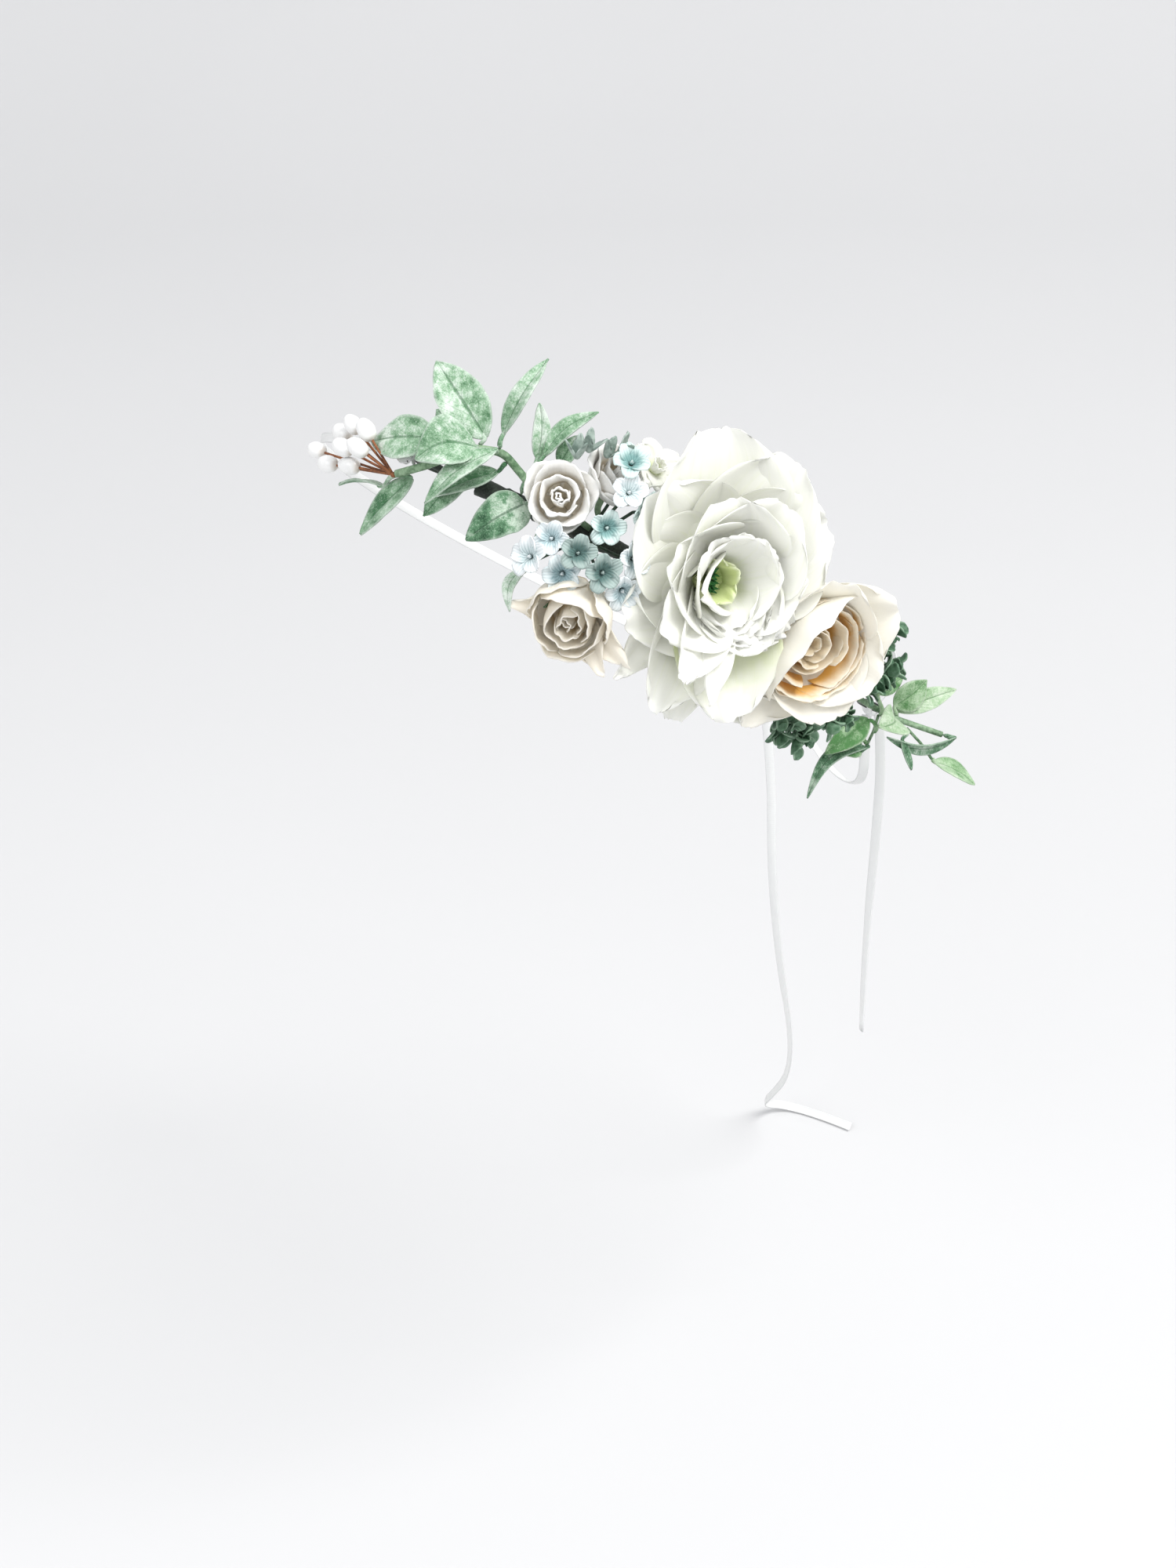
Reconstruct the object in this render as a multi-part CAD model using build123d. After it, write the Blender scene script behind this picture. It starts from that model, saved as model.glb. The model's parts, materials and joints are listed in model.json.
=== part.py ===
from build123d import *
import math
import os

# Half wreath of artificial flowers on a wire, tied round the head with narrow satin ribbon.
# Millimetres. The origin is the centre of the head opening, +Z is up, -Y is the forehead
# and +X is the wearer's left. The plane of the wire climbs towards the forehead.

# ---- driving dimensions ----
half_length = 103.0      # centre of the opening to the wire, along the head
half_width = 81.0        # the same, across the head
end_radius = 72.0        # radius of the wire over the forehead and the back of the head
band_tilt = 38.0         # climb of the wire's plane towards the forehead, degrees

wire_d = 2.0
wire_from = 8.0          # the wire covers these angles, 0 is the forehead, 90 the wearer's left
wire_to = 133.0
eye_radius = 3.5
eye_turn = 300.0

tape_d = 5.0
tape_bore = 2.1
tape_from = 14.0
tape_to = 121.0

stem_d = 1.8
thin_stem_d = 0.9
joint_gap = 0.3          # free space round each bending place
leaf_sheet = 0.6
petal_sheet = 1.2
ribbon_d = 3.0

bloom_width, bloom_height = 68.0, 86.0
blush_width = 47.0
rose_d = 23.0
blossom_d = 10.6
berry_d, berry_long = 4.6, 6.6
bud_d, bud_long = 4.4, 6.0

os.makedirs("parts", exist_ok=True)

# ---- the frame of the band ----
tilt = math.radians(band_tilt)
forward = Vector(0, -math.cos(tilt), math.sin(tilt))
leftward = Vector(1, 0, 0)
normal = Vector(0, math.sin(tilt), math.cos(tilt))
upright = Vector(0, 0, 1)
band = Plane(origin=(0, 0, 0), x_dir=forward, z_dir=normal)

end_centre = half_length - end_radius
side_radius = (end_centre**2 + half_width**2 - end_radius**2) / (2 * (half_width - end_radius))
side_centre = half_width - side_radius
meeting = math.degrees(math.atan2(-side_centre, end_centre))
meet_x = end_centre + end_radius * math.cos(math.radians(meeting))
meet_y = end_radius * math.sin(math.radians(meeting))
switch = math.degrees(math.atan2(meet_y, meet_x))


def oval(angle):
    # the point of the wire's centre line at this angle, and the direction away from the head
    a = (angle + 180) % 360 - 180
    if abs(a) < switch:
        centre, radius = (end_centre, 0.0), end_radius
    elif abs(a) > 180 - switch:
        centre, radius = (-end_centre, 0.0), end_radius
    elif a > 0:
        centre, radius = (0.0, side_centre), side_radius
    else:
        centre, radius = (0.0, -side_centre), side_radius
    c, s = math.cos(math.radians(a)), math.sin(math.radians(a))
    along = c * centre[0] + s * centre[1]
    reach = along + math.sqrt(along**2 - centre[0]**2 - centre[1]**2 + radius**2)
    x, y = reach * c, reach * s
    return (x, y), ((x - centre[0]) / radius, (y - centre[1]) / radius)


def spot(angle, out=0.0, rise=0.0):
    (x, y), (nx, ny) = oval(angle)
    return forward * (x + nx * out) + leftward * (y + ny * out) + normal * rise


def outward(angle):
    nx, ny = oval(angle)[1]
    return forward * nx + leftward * ny


def along(angle):
    nx, ny = oval(angle)[1]
    return forward * -ny + leftward * nx


def facing(angle, swing=0.0, lift=0.0):
    # a direction away from the head, swung along the band and lifted off its plane
    w, h = math.radians(swing), math.radians(lift)
    flat = outward(angle) * math.cos(w) + along(angle) * math.sin(w)
    return flat * math.cos(h) + normal * math.sin(h)


def seat(origin, toward):
    # a plane at a flower's foot, its Z the way the flower looks and its Y as upright as it can be
    return Plane(origin=origin, x_dir=upright.cross(toward), z_dir=toward)


# ---- makers ----
def rod(points, diameter, radii):
    path = FilletPolyline(*points, radius=radii) if len(points) > 2 else Line(*points)
    section = Plane(origin=path @ 0, z_dir=path % 0) * Circle(diameter / 2)
    return sweep(section, path=path)


def soft_radii(points):
    # each bend of a limp cord takes 0.45 of the shorter run beside it
    radii = []
    for before, here, after in zip(points, points[1:], points[2:]):
        turn = math.radians((here - before).get_angle(after - here))
        shorter = min((here - before).length, (after - here).length)
        radii.append(0.45 * shorter / math.tan(turn / 2))
    return radii


def cord(name, points):
    points = [Vector(*p) if isinstance(p, tuple) else p for p in points]
    radii = soft_radii(points)
    path = FilletPolyline(*points, radius=radii)
    section = Plane(origin=path @ 0, z_dir=path % 0) * Circle(ribbon_d / 2)
    solid = sweep(section, path=path)
    expected = math.pi * ribbon_d**2 / 4 * path.length
    print(name, "length", round(path.length, 1), "radii", [round(r, 1) for r in radii],
          "volume ratio", round(solid.volume / expected, 4))
    for point in points:
        print("   ", tuple(round(v / 1000, 5) for v in point))
    return solid


def leaf(base, tip, width, roll=0.0, look=None, sheet=leaf_sheet, fullest=0.42):
    # a flat blade from base to tip that looks away from the head, rolled about its own length
    run = tip - base
    middle = (base + tip) * 0.5
    away = look or (middle - normal * middle.dot(normal)).normalized() + upright * 0.25
    face = (away - run * (away.dot(run) / run.dot(run))).normalized()
    face = face.rotate(Axis((0, 0, 0), run), roll)
    length = run.length
    near, far = fullest * 0.35 * length, (0.45 + fullest * 0.65) * length
    half = width * 0.66
    upper = Bezier((0, 0), (near, half), (far, half), (length, 0))
    lower = Bezier((length, 0), (far, -half), (near, -half), (0, 0))
    blade = extrude(make_face([upper, lower]), amount=sheet)
    plane = Plane(origin=base - face * (sheet / 2), x_dir=run, z_dir=face)
    return plane.location * blade


def dish(rim, depth, sheet, hub):
    # a shallow bowl, open at the hub, whose wall steepens towards the rim
    outer = ThreePointArc((hub, 0), ((hub + rim) * 0.52, depth * 0.27), (rim, depth))
    inner = ThreePointArc((rim, depth + sheet), ((hub + rim) * 0.52, depth * 0.27 + sheet), (hub, sheet))
    rim_edge = Line((rim, depth), (rim, depth + sheet))
    hub_edge = Line((hub, sheet), (hub, 0))
    return revolve(Plane.XZ * make_face([outer, rim_edge, inner, hub_edge]), axis=Axis.Z)


def lobed(width, height, lobes, lobe, phase=0.0):
    # a scalloped outline: round lobes on an oval
    a, b = width / 2 - lobe, height / 2 - lobe
    outline = Ellipse(a + lobe * 0.45, b + lobe * 0.45)
    for i in range(lobes):
        turn = math.radians(phase + i * 360 / lobes)
        outline += Pos(a * math.cos(turn), b * math.sin(turn)) * Circle(lobe)
    return outline


def whorl(width, height, lobes, lobe, depth, hub, sheet=petal_sheet, phase=0.0):
    # one ring of petals, a bowl cut to a scalloped outline
    rim = max(width, height) / 2 + 1
    bowl = dish(rim, depth, sheet, hub)
    prism = Pos(0, 0, -5) * extrude(lobed(width, height, lobes, lobe, phase), amount=depth + 30)
    return bowl & prism


def bulb(radius, low, high, foot=0.0):
    # an egg on the Z axis between two heights, cut flat at the foot
    half = (high - low) / 2
    middle = (high + low) / 2
    egg = scale(Sphere(radius), by=(1, 1, half / radius))
    egg = Pos(0, 0, middle) * egg
    if foot > low:
        egg = egg & Pos(0, 0, foot + 100) * Box(4 * radius, 4 * radius, 200)
    return egg


def egg_solid(centre, toward, diameter, long):
    # a plump closed egg, its long axis along the way it points
    side = upright.cross(toward) if abs(toward.Z) < 0.95 * toward.length else leftward
    egg = scale(Sphere(diameter / 2), by=(1, 1, long / diameter))
    return Plane(origin=centre, x_dir=side, z_dir=toward).location * egg


def blossom(place, size=blossom_d):
    # five rounded petals round a small throat, with a short green neck behind
    face = Circle(size * 0.2)
    for i in range(5):
        turn = math.radians(90 + 72 * i)
        reach = size * 0.285
        face += Pos(reach * math.cos(turn), reach * math.sin(turn)) * Circle(size * 0.205)
    return place.location * extrude(face, amount=0.9)


def group(solids):
    return Compound(children=[s if isinstance(s, Solid) else s.solids()[0] for s in solids])


made = {}


def keep(name, shape):
    made[name] = shape
    export_step(shape, "parts/" + name + ".step")
    print(name, len(shape.solids()), round(shape.volume, 1))


# ---- the wire with an eye at each end ----
def arc_on_band(first, last):
    # the wire's centre line as tangent arcs, drawn flat
    def normal_angle(angle):
        nx, ny = oval(angle)[1]
        return math.degrees(math.atan2(ny, nx))
    parts = []
    if first < switch:
        end = min(last, switch)
        parts.append(CenterArc((end_centre, 0), end_radius, normal_angle(first),
                               (meeting if last > switch else normal_angle(end)) - normal_angle(first)))
    if last > switch:
        start = max(first, switch)
        from_angle = meeting if first < switch else normal_angle(start)
        parts.append(CenterArc((0, side_centre), side_radius, from_angle, normal_angle(last) - from_angle))
    return parts


def eye_centre(angle):
    (x, y), (nx, ny) = oval(angle)
    return x + nx * eye_radius, y + ny * eye_radius, math.degrees(math.atan2(ny, nx))


front_x, front_y, front_turn = eye_centre(wire_from)
back_x, back_y, back_turn = eye_centre(wire_to)
front_eye = CenterArc((front_x, front_y), eye_radius, front_turn + 180, eye_turn)
back_eye = CenterArc((back_x, back_y), eye_radius, back_turn + 180, -eye_turn)


def flat_sweep(edges, outer_d, inner_d=0.0):
    path = Wire(edges)
    ring = Circle(outer_d / 2)
    if inner_d:
        ring -= Circle(inner_d / 2)
    section = Plane(origin=path @ 0, z_dir=path % 0) * ring
    return sweep(section, path=path)


body_arcs = arc_on_band(wire_from, wire_to)
wire = flat_sweep(body_arcs, wire_d)
for eye in (front_eye, back_eye):
    wire += flat_sweep([eye], wire_d)
keep("base_wire", band.location * wire)
keep("floral_tape", band.location * flat_sweep(arc_on_band(tape_from, tape_to), tape_d, tape_bore))

# ---- the big white bloom ----
bloom_turn = facing(50, 1, -3)
bloom_foot = spot(53, 6.6, 4.0)
bloom = seat(bloom_foot, bloom_turn)
blush_turn = facing(75, -6, -10)
blush_foot = spot(79.5, 7.6, 5.0)
blush = seat(blush_foot, blush_turn)
room = blush.location * (Pos(0, 0, 15) * Cylinder(blush_width / 2, 60))
keep("white_bloom_outer_petals", bloom.location * (
    whorl(bloom_width, bloom_height, 8, 15.0, 7.0, 5.5, 1.4, 12)) - room)
keep("white_bloom_inner_petals", bloom.location * (
    Pos(-1.5, 0, 2.8) * whorl(43, 54, 6, 11.5, 13.0, 4.5, 1.4, 40)) - room)
keep("white_bloom_heart", bloom.location * (Pos(-3.5, 0, 5.2) * bulb(6.5, 0, 13, 1.0)))
calyx_profile = make_face([
    Line((0, -3.2), (2.0, -3.2)), ThreePointArc((2.0, -3.2), (5.2, -1.8), (6.5, -0.3)),
    Line((6.5, -0.3), (0, -0.3)), Line((0, -0.3), (0, -3.2)),
])
calyx = revolve(Plane.XZ * calyx_profile, axis=Axis.Z)
keep("white_bloom_calyx", bloom.location * calyx)
keep("white_bloom_stem", rod(
    [bloom_foot - bloom_turn * 3.1, spot(56, 3.0, 2.6), spot(64, 2.9, 1.6), spot(70, 2.6, 1.2)], stem_d, [3, 6]))

# ---- the blush bloom ----
keep("blush_bloom_outer_petals", blush.location * (
    whorl(blush_width - 2, blush_width + 2, 6, 12.0, 14.0, 4.5, 1.3, 30)))
keep("blush_bloom_inner_petals", blush.location * (
    Pos(0, 0, 4.0) * bulb(12.0, -3, 16, 0.0)))
blush_calyx = Pos(0, 0, 0) * scale(calyx, by=(0.75, 0.75, 1.0))
keep("blush_bloom_calyx", blush.location * blush_calyx)
keep("blush_bloom_stem", rod(
    [blush_foot - blush_turn * 3.1, spot(84, 3.0, 2.4), spot(91, 2.8, 1.4), spot(97, 2.6, 1.0)], stem_d, [2, 5]))


# ---- the paper roses, the rosebud and the low rose ----
def rose_cup(radius, height, mouth=0.36, wall=0.84):
    # a rounded goblet of petals, hollow at the mouth
    ball = Sphere(1) & Pos(0, 0, -1) * Box(4, 4, 2)
    goblet = ball - Pos(0, 0, mouth) * Sphere(wall + mouth * 0.2)
    return Pos(0, 0, height) * scale(goblet, by=(radius, radius, height))


rose_turn = facing(27, -4, -2)
rose = seat(spot(28, 5.5, 5.0), rose_turn)
keep("paper_rose_petals", rose.location * rose_cup(rose_d / 2 - 0.5, 9.5))
keep("paper_rose_core", rose.location * (Pos(0, 0, 4.4) * bulb(4.6, 0, 8.0, 0.8)))
second_turn = facing(33, 14, 38)
second = seat(spot(33.5, 4.6, 13.6), second_turn)
keep("second_rose_petals", second.location * rose_cup(8.6, 8.0))
keep("second_rose_core", second.location * (Pos(0, 0, 3.6) * bulb(3.6, 0, 6.4, 0.8)))
keep("rose_stems", group([
    rod([rose.origin, spot(29, 2.6, 3.4), spot(34, 2.0, 1.6)], stem_d, [3]),
    rod([second.origin, spot(33.5, 3.0, 7.0), spot(37, 1.8, 1.8)], stem_d, [3]),
]))

bud_turn = facing(36, -13, -36)
bud_foot = spot(36.5, 5.0, -18.5)
rosebud = seat(bud_foot, bud_turn)
keep("cream_rosebud_petals", rosebud.location * rose_cup(11.0, 14.0))
keep("cream_rosebud_core", rosebud.location * (Pos(0, 0, 6.6) * bulb(5.2, 0, 8.4, 0.8)))
sepal_profile = make_face([
    Line((0, -3.4), (1.4, -3.4)), ThreePointArc((1.4, -3.4), (3.4, -1.8), (3.8, -0.3)),
    Line((3.8, -0.3), (0, -0.3)), Line((0, -0.3), (0, -3.4)),
])
keep("cream_rosebud_sepals", rosebud.location * revolve(Plane.XZ * sepal_profile, axis=Axis.Z))
keep("cream_rosebud_stem", rod(
    [bud_foot - bud_turn * 3.3, spot(38, 3.8, -8.0), spot(41, 2.2, -1.8)], stem_d, [8]))

low_turn = facing(77, -4, -50)
low_rose = seat(spot(76.5, 3.0, -17.5), low_turn)
keep("low_rose_petals", low_rose.location * rose_cup(7.6, 8.0))
keep("low_rose_stem", rod([low_rose.origin, spot(77.5, 2.0, -9.0), spot(79, 2.0, -2.2)], stem_d, [6]))

# ---- small white filler flower behind the second rose ----
filler_turn = facing(38, 6, 30)
filler = seat(spot(38.5, 5.0, 22.5), filler_turn)
keep("small_white_flower", filler.location * (
    whorl(16, 15, 6, 3.4, 3.0, 0.9, 0.9)))

# ---- blue blossoms: angle, stand-off, rise, swing, lift ----
blossoms = [
    (35.0, 20, 12.5, -6, 12), (34.0, 18, 20.0, -16, 30), (34.5, 17.5, 2.0, 4, -6),
    (38.0, 18, 10.0, 22, 10), (29.0, 15.5, -6.5, -18, -8), (27.5, 13, -13.0, -30, -10),
    (32.5, 18.5, -7.5, -4, 4), (36.0, 20.5, -9.5, 6, -2), (39.0, 19, -2.5, 14, 8),
    (32.0, 15.0, -13.6, -8, -20), (39.6, 17.5, -11.0, 14, -24),
]
hub = spot(34, 3.0, -1.5)
heads = []
stalks = []
for angle, out, rise, swing, lift in blossoms:
    look = facing(angle, swing, lift)
    place = seat(spot(angle, out, rise), look)
    heads.append(blossom(place))
    neck = place.origin - look * 0.2
    bend = place.origin - look * 4.5
    root = hub + along(34) * (0.35 * (angle - 34)) + normal * (0.12 * rise)
    stalks.append(rod([neck, bend, root], thin_stem_d, [2.0]))
keep("blue_blossoms", group(heads))
keep("blossom_stems", group(stalks))

side_buds = [(27.2, 15, 18.0, -30, 50), (28.6, 15, 21.0, 0, 60), (31.2, 15, 21.6, 20, 60), (33.0, 14, 23.6, 40, 54)]
keep("grey_buds", group([
    egg_solid(spot(a, o, r), facing(a, w, h), 4.2, 5.4) for a, o, r, w, h in side_buds]))

# ---- leaves that are wired into the bunch ----
keep("rose_leaf", leaf(spot(23.8, 5.6, 0.2), spot(18.6, 9.0, -15.5), 12.0, -8))
keep("upright_leaves", group([
    leaf(spot(22.6, 4.6, 12.4), spot(19.8, 7.2, 26.0), 5.2, 20),
    leaf(spot(23.4, 7.0, 13.5), spot(27.8, 8.6, 30.0), 6.0, -16),
    leaf(spot(25.8, 2.6, 13.5), spot(26.4, 4.2, 22.5), 5.4, 6),
]))
keep("curved_pale_leaf", leaf(spot(27.6, 6.0, -15.5), spot(28.0, 7.0, -28.0), 4.0, 10))

# ---- boxwood behind and below the blush bloom: angle, stand-off, rise ----
box_spots = [
    (115, 3.5, 19), (109.5, 0.5, 17), (112, 4.6, 13), (118, 8, 10.5), (114.5, 8.6, 6.5),
    (109.5, 5, 7), (106, 2.5, 12), (112.5, 7.2, 0.6),
    (87, 4.5, -23), (93.5, 4.5, -22.5), (84.5, 5, -17.5),
    (89, 5.5, -17.5), (95, 5, -16.5), (98, 5, -10.5), (102.5, 5, -13), (106.5, 5.5, -9),
]
cones = []
twigs = []
for i, (angle, out, rise) in enumerate(box_spots):
    turn = 18 * math.sin(2.4 * i)
    look = facing(angle, turn + 12, 40 if rise > 0 else -40)
    centre = spot(angle, out, rise)
    cones.append(egg_solid(centre, look, bud_d, bud_long))
    side = 2.0 if rise > 0 else -2.0
    foot = centre - look * (bud_long / 2 + 0.1)
    root = spot(min(angle - 0.5, 117), 1.7 + 0.06 * (i % 4), side)
    twigs.append(rod([foot, root], thin_stem_d, []))
keep("boxwood_buds", group(cones))
keep("boxwood_stems", group(twigs))


# ---- sprays that bend on their own wires ----
def ball_stem(pivot, points, diameter, radii):
    # a stem that starts as a ball at its bending place
    return Pos(pivot) * Sphere(diameter / 2) + rod([pivot] + points, diameter, radii)


def stub(root, pivot, diameter):
    # the fixed end, stopping short of the ball
    reach = (pivot - root)
    end = pivot - reach.normalized() * (diameter / 2 + joint_gap)
    return rod([root, end], diameter, [])


spray_d = 2.2
left_pivot = spot(22.4, 5.8, 6.0)
left_spine = [spot(18.2, 8.0, 10.0), spot(14.0, 9.8, 7.6), spot(9.6, 10.0, -1.0)]
berry_pivot = spot(4.6, 7.8, -6.6)
spine_end = berry_pivot + (left_spine[-1] - berry_pivot).normalized() * (0.8 + joint_gap)
keep("left_stem_root", stub(spot(26.0, 2.3, 2.0), left_pivot, spray_d))
keep("left_spray_stem", ball_stem(left_pivot, left_spine + [spine_end], spray_d, [7, 9, 9]))
keep("left_broad_leaves", group([
    leaf(spot(15.4, 9.4, 11.5), spot(5.0, 12.5, 25.5), 13.5, 4),
    leaf(spot(9.4, 11.6, 6.2), spot(-1.4, 7.6, -0.2), 13.0, -6),
    leaf(spot(7.0, 5.4, -5.4), spot(2.4, 4.4, -24.5), 9.5, 10),
    leaf(spot(14.6, 12.4, 9.5), spot(9.8, 16.4, -3.5), 15.0, -10),
    leaf(spot(17.8, 13.2, 9.0), spot(12.6, 15.4, -11.5), 8.0, 14),
    leaf(spot(14.3, 5.4, 2.4), spot(10.8, 4.6, -13.6), 8.0, -14),
    leaf(spot(18.4, 6.0, 4.8), spot(11.8, 7.8, -7.8), 9.5, 24),
]))
keep("left_small_leaves", group([
    leaf(spot(11.4, 5.2, 11.0), spot(5.6, 4.6, 14.4), 7.5, 0),
    leaf(spot(1.8, 2.8, -10.0), spot(-6.6, 3.0, -13.4), 5.4, 62),
    leaf(spot(17.4, 9.8, 14.4), spot(19.0, 12.4, 37.0), 7.0, -18),
]))

berry_spots = [
    (-10.3, 9.5, -7.3), (-6.8, 9.2, -10.0), (-6.7, 9.2, -0.7), (-3.3, 12.8, -4.9),
    (-3.8, 12.0, 2.0), (-0.6, 13.2, 1.6), (0.2, 15.2, -4.0), (-2.6, 9.2, -8.6),
]
berries = []
picks = []
for angle, out, rise in berry_spots:
    centre = spot(angle, out, rise)
    look = (centre - berry_pivot).normalized()
    berries.append(egg_solid(centre, look, berry_d, berry_long))
    picks.append(rod([berry_pivot + look * 0.2, centre - look * (berry_long / 2 + 0.02)], 0.7, []))
bunch = Pos(berry_pivot) * Sphere(0.8)
for pick in picks:
    bunch += pick
keep("berry_stems", bunch)
keep("berries", group(berries))

right_pivot = spot(123.5, 5.2, -1.6)
fore = facing(60, 0, 24)
right_spine = [spot(127.5, 13.6, -1.6), spot(131.5, 27.0, 0.2)]
keep("right_stem_root", stub(spot(118.0, 1.6, -1.6), right_pivot, stem_d))
keep("right_spray_stem", group([
    ball_stem(right_pivot, right_spine, stem_d, [20]),
    rod([spot(128.8, 17.0, -2.7), spot(130.4, 23.0, -5.2), spot(130.6, 27.4, -8.0)], thin_stem_d, [6]),
    rod([spot(124.6, 8.6, -3.2), spot(123.2, 9.6, -8.4), spot(121.6, 10.0, -13.0)], thin_stem_d, [8]),
]))
keep("right_broad_leaves", group([
    leaf(spot(125.8, 11.4, 1.4), spot(126.6, 17.0, 12.6), 10.0, 10, fore),
    leaf(spot(127.4, 12.4, 0.6), spot(131.2, 25.4, 14.4), 7.0, -10, fore),
    leaf(spot(119.6, 8.4, -2.8), spot(122.2, 17.4, -7.0), 11.0, -16, fore),
    leaf(spot(118.8, 8.2, -6.4), spot(113.2, 3.0, -21.5), 8.0, 16, fore),
    leaf(spot(120.4, 6.2, -11.2), spot(118.2, 6.4, -20.0), 8.5, -8, fore),
    leaf(spot(130.8, 28.2, -8.4), spot(133.6, 42.0, -9.4), 8.0, -24, fore),
    leaf(spot(121.4, 6.6, 2.2), spot(124.6, 10.4, 10.4), 5.0, 8, fore),
]))
keep("right_narrow_leaves", group([
    leaf(spot(121.4, 10.2, -13.8), spot(115.2, 2.6, -35.4), 4.6, 30, fore),
    leaf(spot(126.4, 13.2, -8.0), spot(131.0, 31.2, 0.8), 4.2, 55, fore),
    leaf(spot(127.2, 17.4, -6.8), spot(128.2, 23.6, -13.8), 3.2, 0, fore),
]))


# ---- satin ribbon ----
def hitch(eye_x, eye_y, turn, way):
    # a turn of ribbon through the eye and the knot that closes it; way is +1 or -1 along the band
    a = math.radians(turn)
    tangent = (-math.sin(a) * way, math.cos(a) * way)
    centre = Vector(eye_x + tangent[0] * eye_radius, eye_y + tangent[1] * eye_radius, 0)
    knot = centre + Vector(tangent[0], tangent[1], 0) * 4.6
    ring = Plane(origin=centre, x_dir=Vector(*tangent, 0), z_dir=Vector(math.cos(a), math.sin(a), 0)).location
    shape = ring * Torus(2.2, 0.8) + Pos(knot) * Sphere(2.6)
    return band.location * shape, (band.location * Pos(knot)).position


front_hitch, front_knot = hitch(front_x, front_y, front_turn, -1)
back_hitch, back_knot = hitch(back_x, back_y, back_turn, 1)
keep("front_ribbon_hitch", front_hitch)
keep("back_ribbon_hitch", back_hitch)
rear_knot = spot(180, 1.4, 0.0)
keep("rear_ribbon_knot", Pos(rear_knot) * scale(Sphere(3.0), by=(1.25, 0.9, 0.9)))
print("knots", front_knot, back_knot, rear_knot)

strand = [front_knot - along(wire_from) * 2.55]
for angle, out in ((-13, 0.6), (-35, -0.2), (-61, 0.1), (-85, 0.3), (-107, 0.0), (-129, 0.2), (-151, 0.1)):
    strand.append(spot(angle, out, 0))
strand.append(rear_knot + along(180) * 3.75)
keep("tie_strand", cord("tie_strand", strand))

droop_start = back_knot + Vector(-1.2, -0.4, -2.4)
keep("slack_strand", cord("slack_strand", [
    droop_start, (64.4, 53.8, -57.5), (63.0, 55.6, -69.0), (53.5, 61.5, -76.5), (38.5, 69.0, -77.5),
    (21.0, 77.5, -72.0), rear_knot + Vector(3.4, 0.4, -0.9)]))

# one loop of the bow stands up behind the boxwood
loop_centre = Vector(58.5, 58.5, -29.5)
loop_side = Vector(0.9, 0.35, -0.2).normalized()
loop_lift = Vector(-0.15, 0.3, 0.94).normalized()
bow = [back_knot + Vector(1.2, 0.8, 2.2)]
for turn in (-40, 2, 42, 84, 124, 166, 208, 248):
    a = math.radians(turn)
    bow.append(loop_centre + loop_side * (11.0 * math.cos(a)) + loop_lift * (12.0 * math.sin(a)))
bow.append(back_knot + Vector(-2.2, 0.6, 1.6))
keep("bow_loop", cord("bow_loop", bow))

# the tails start a little below their knots, so that they swing free of them
tail_top = back_knot + Vector(1.3, 2.4, -3.2)
keep("straight_tail", cord("straight_tail", [
    tail_top, (67.8, 58.2, -60.0), (67.4, 57.6, -90.0), (65.9, 56.8, -126.0), (66.4, 56.4, -160.0)]))

tail_drop = rear_knot + Vector(0.6, 1.0, -4.2)
keep("long_tail", cord("long_tail", [
    tail_drop, (3.0, 86.0, -96.0), (5.8, 84.0, -136.0), (8.2, 87.0, -172.0), (9.6, 93.5, -204.0),
    (2.0, 102.5, -229.0), (-12.0, 111.5, -248.0), (-20.5, 116.8, -258.5), (-18.5, 127.6, -263.5),
    (-3.0, 131.6, -263.5), (9.0, 132.6, -263.5)]))

print("pivots", left_pivot, berry_pivot, right_pivot, tail_top, tail_drop)
print("normal", normal, "outward front", outward(0))
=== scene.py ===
import json
import math
import random
import bmesh
import bpy
import numpy as np
from mathutils import Matrix, Vector, noise


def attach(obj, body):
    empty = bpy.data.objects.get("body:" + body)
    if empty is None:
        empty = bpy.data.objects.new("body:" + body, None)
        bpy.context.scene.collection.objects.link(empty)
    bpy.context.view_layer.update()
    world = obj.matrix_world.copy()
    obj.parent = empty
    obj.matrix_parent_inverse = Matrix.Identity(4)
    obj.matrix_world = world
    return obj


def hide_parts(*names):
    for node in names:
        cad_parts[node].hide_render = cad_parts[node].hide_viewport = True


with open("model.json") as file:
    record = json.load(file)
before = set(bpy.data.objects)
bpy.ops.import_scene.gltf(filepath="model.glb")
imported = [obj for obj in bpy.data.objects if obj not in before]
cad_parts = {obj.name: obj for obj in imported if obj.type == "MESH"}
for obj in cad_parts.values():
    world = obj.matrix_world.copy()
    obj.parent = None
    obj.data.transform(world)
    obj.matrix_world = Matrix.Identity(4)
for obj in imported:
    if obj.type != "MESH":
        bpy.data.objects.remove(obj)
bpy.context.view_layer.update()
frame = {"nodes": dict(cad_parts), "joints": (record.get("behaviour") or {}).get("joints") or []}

nodes = frame["nodes"]
joints = {joint["name"]: joint for joint in frame["joints"]}
bandNormal = Vector(joints["left_spray_bend"]["axis"]).normalized()
upright = Vector((0, 0, 1))
mm = 0.001
print("frame loaded,", len(nodes), "nodes")


# camera

cameraFacts = {"place": (0.5479, -0.6110, 0.3656), "azimuth": 42.0, "pitch": 28.0, "lens": 68.4}


def makeCamera(facts):
    data = bpy.data.cameras.new("viewer")
    data.lens = facts["lens"]
    camera = bpy.data.objects.new("viewer", data)
    camera.location = facts["place"]
    camera.rotation_euler = (math.radians(90 - facts["pitch"]), 0, math.radians(facts["azimuth"]))
    bpy.context.scene.collection.objects.link(camera)
    bpy.context.scene.camera = camera


makeCamera(cameraFacts)
print("camera placed")


# materials in Python

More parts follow.
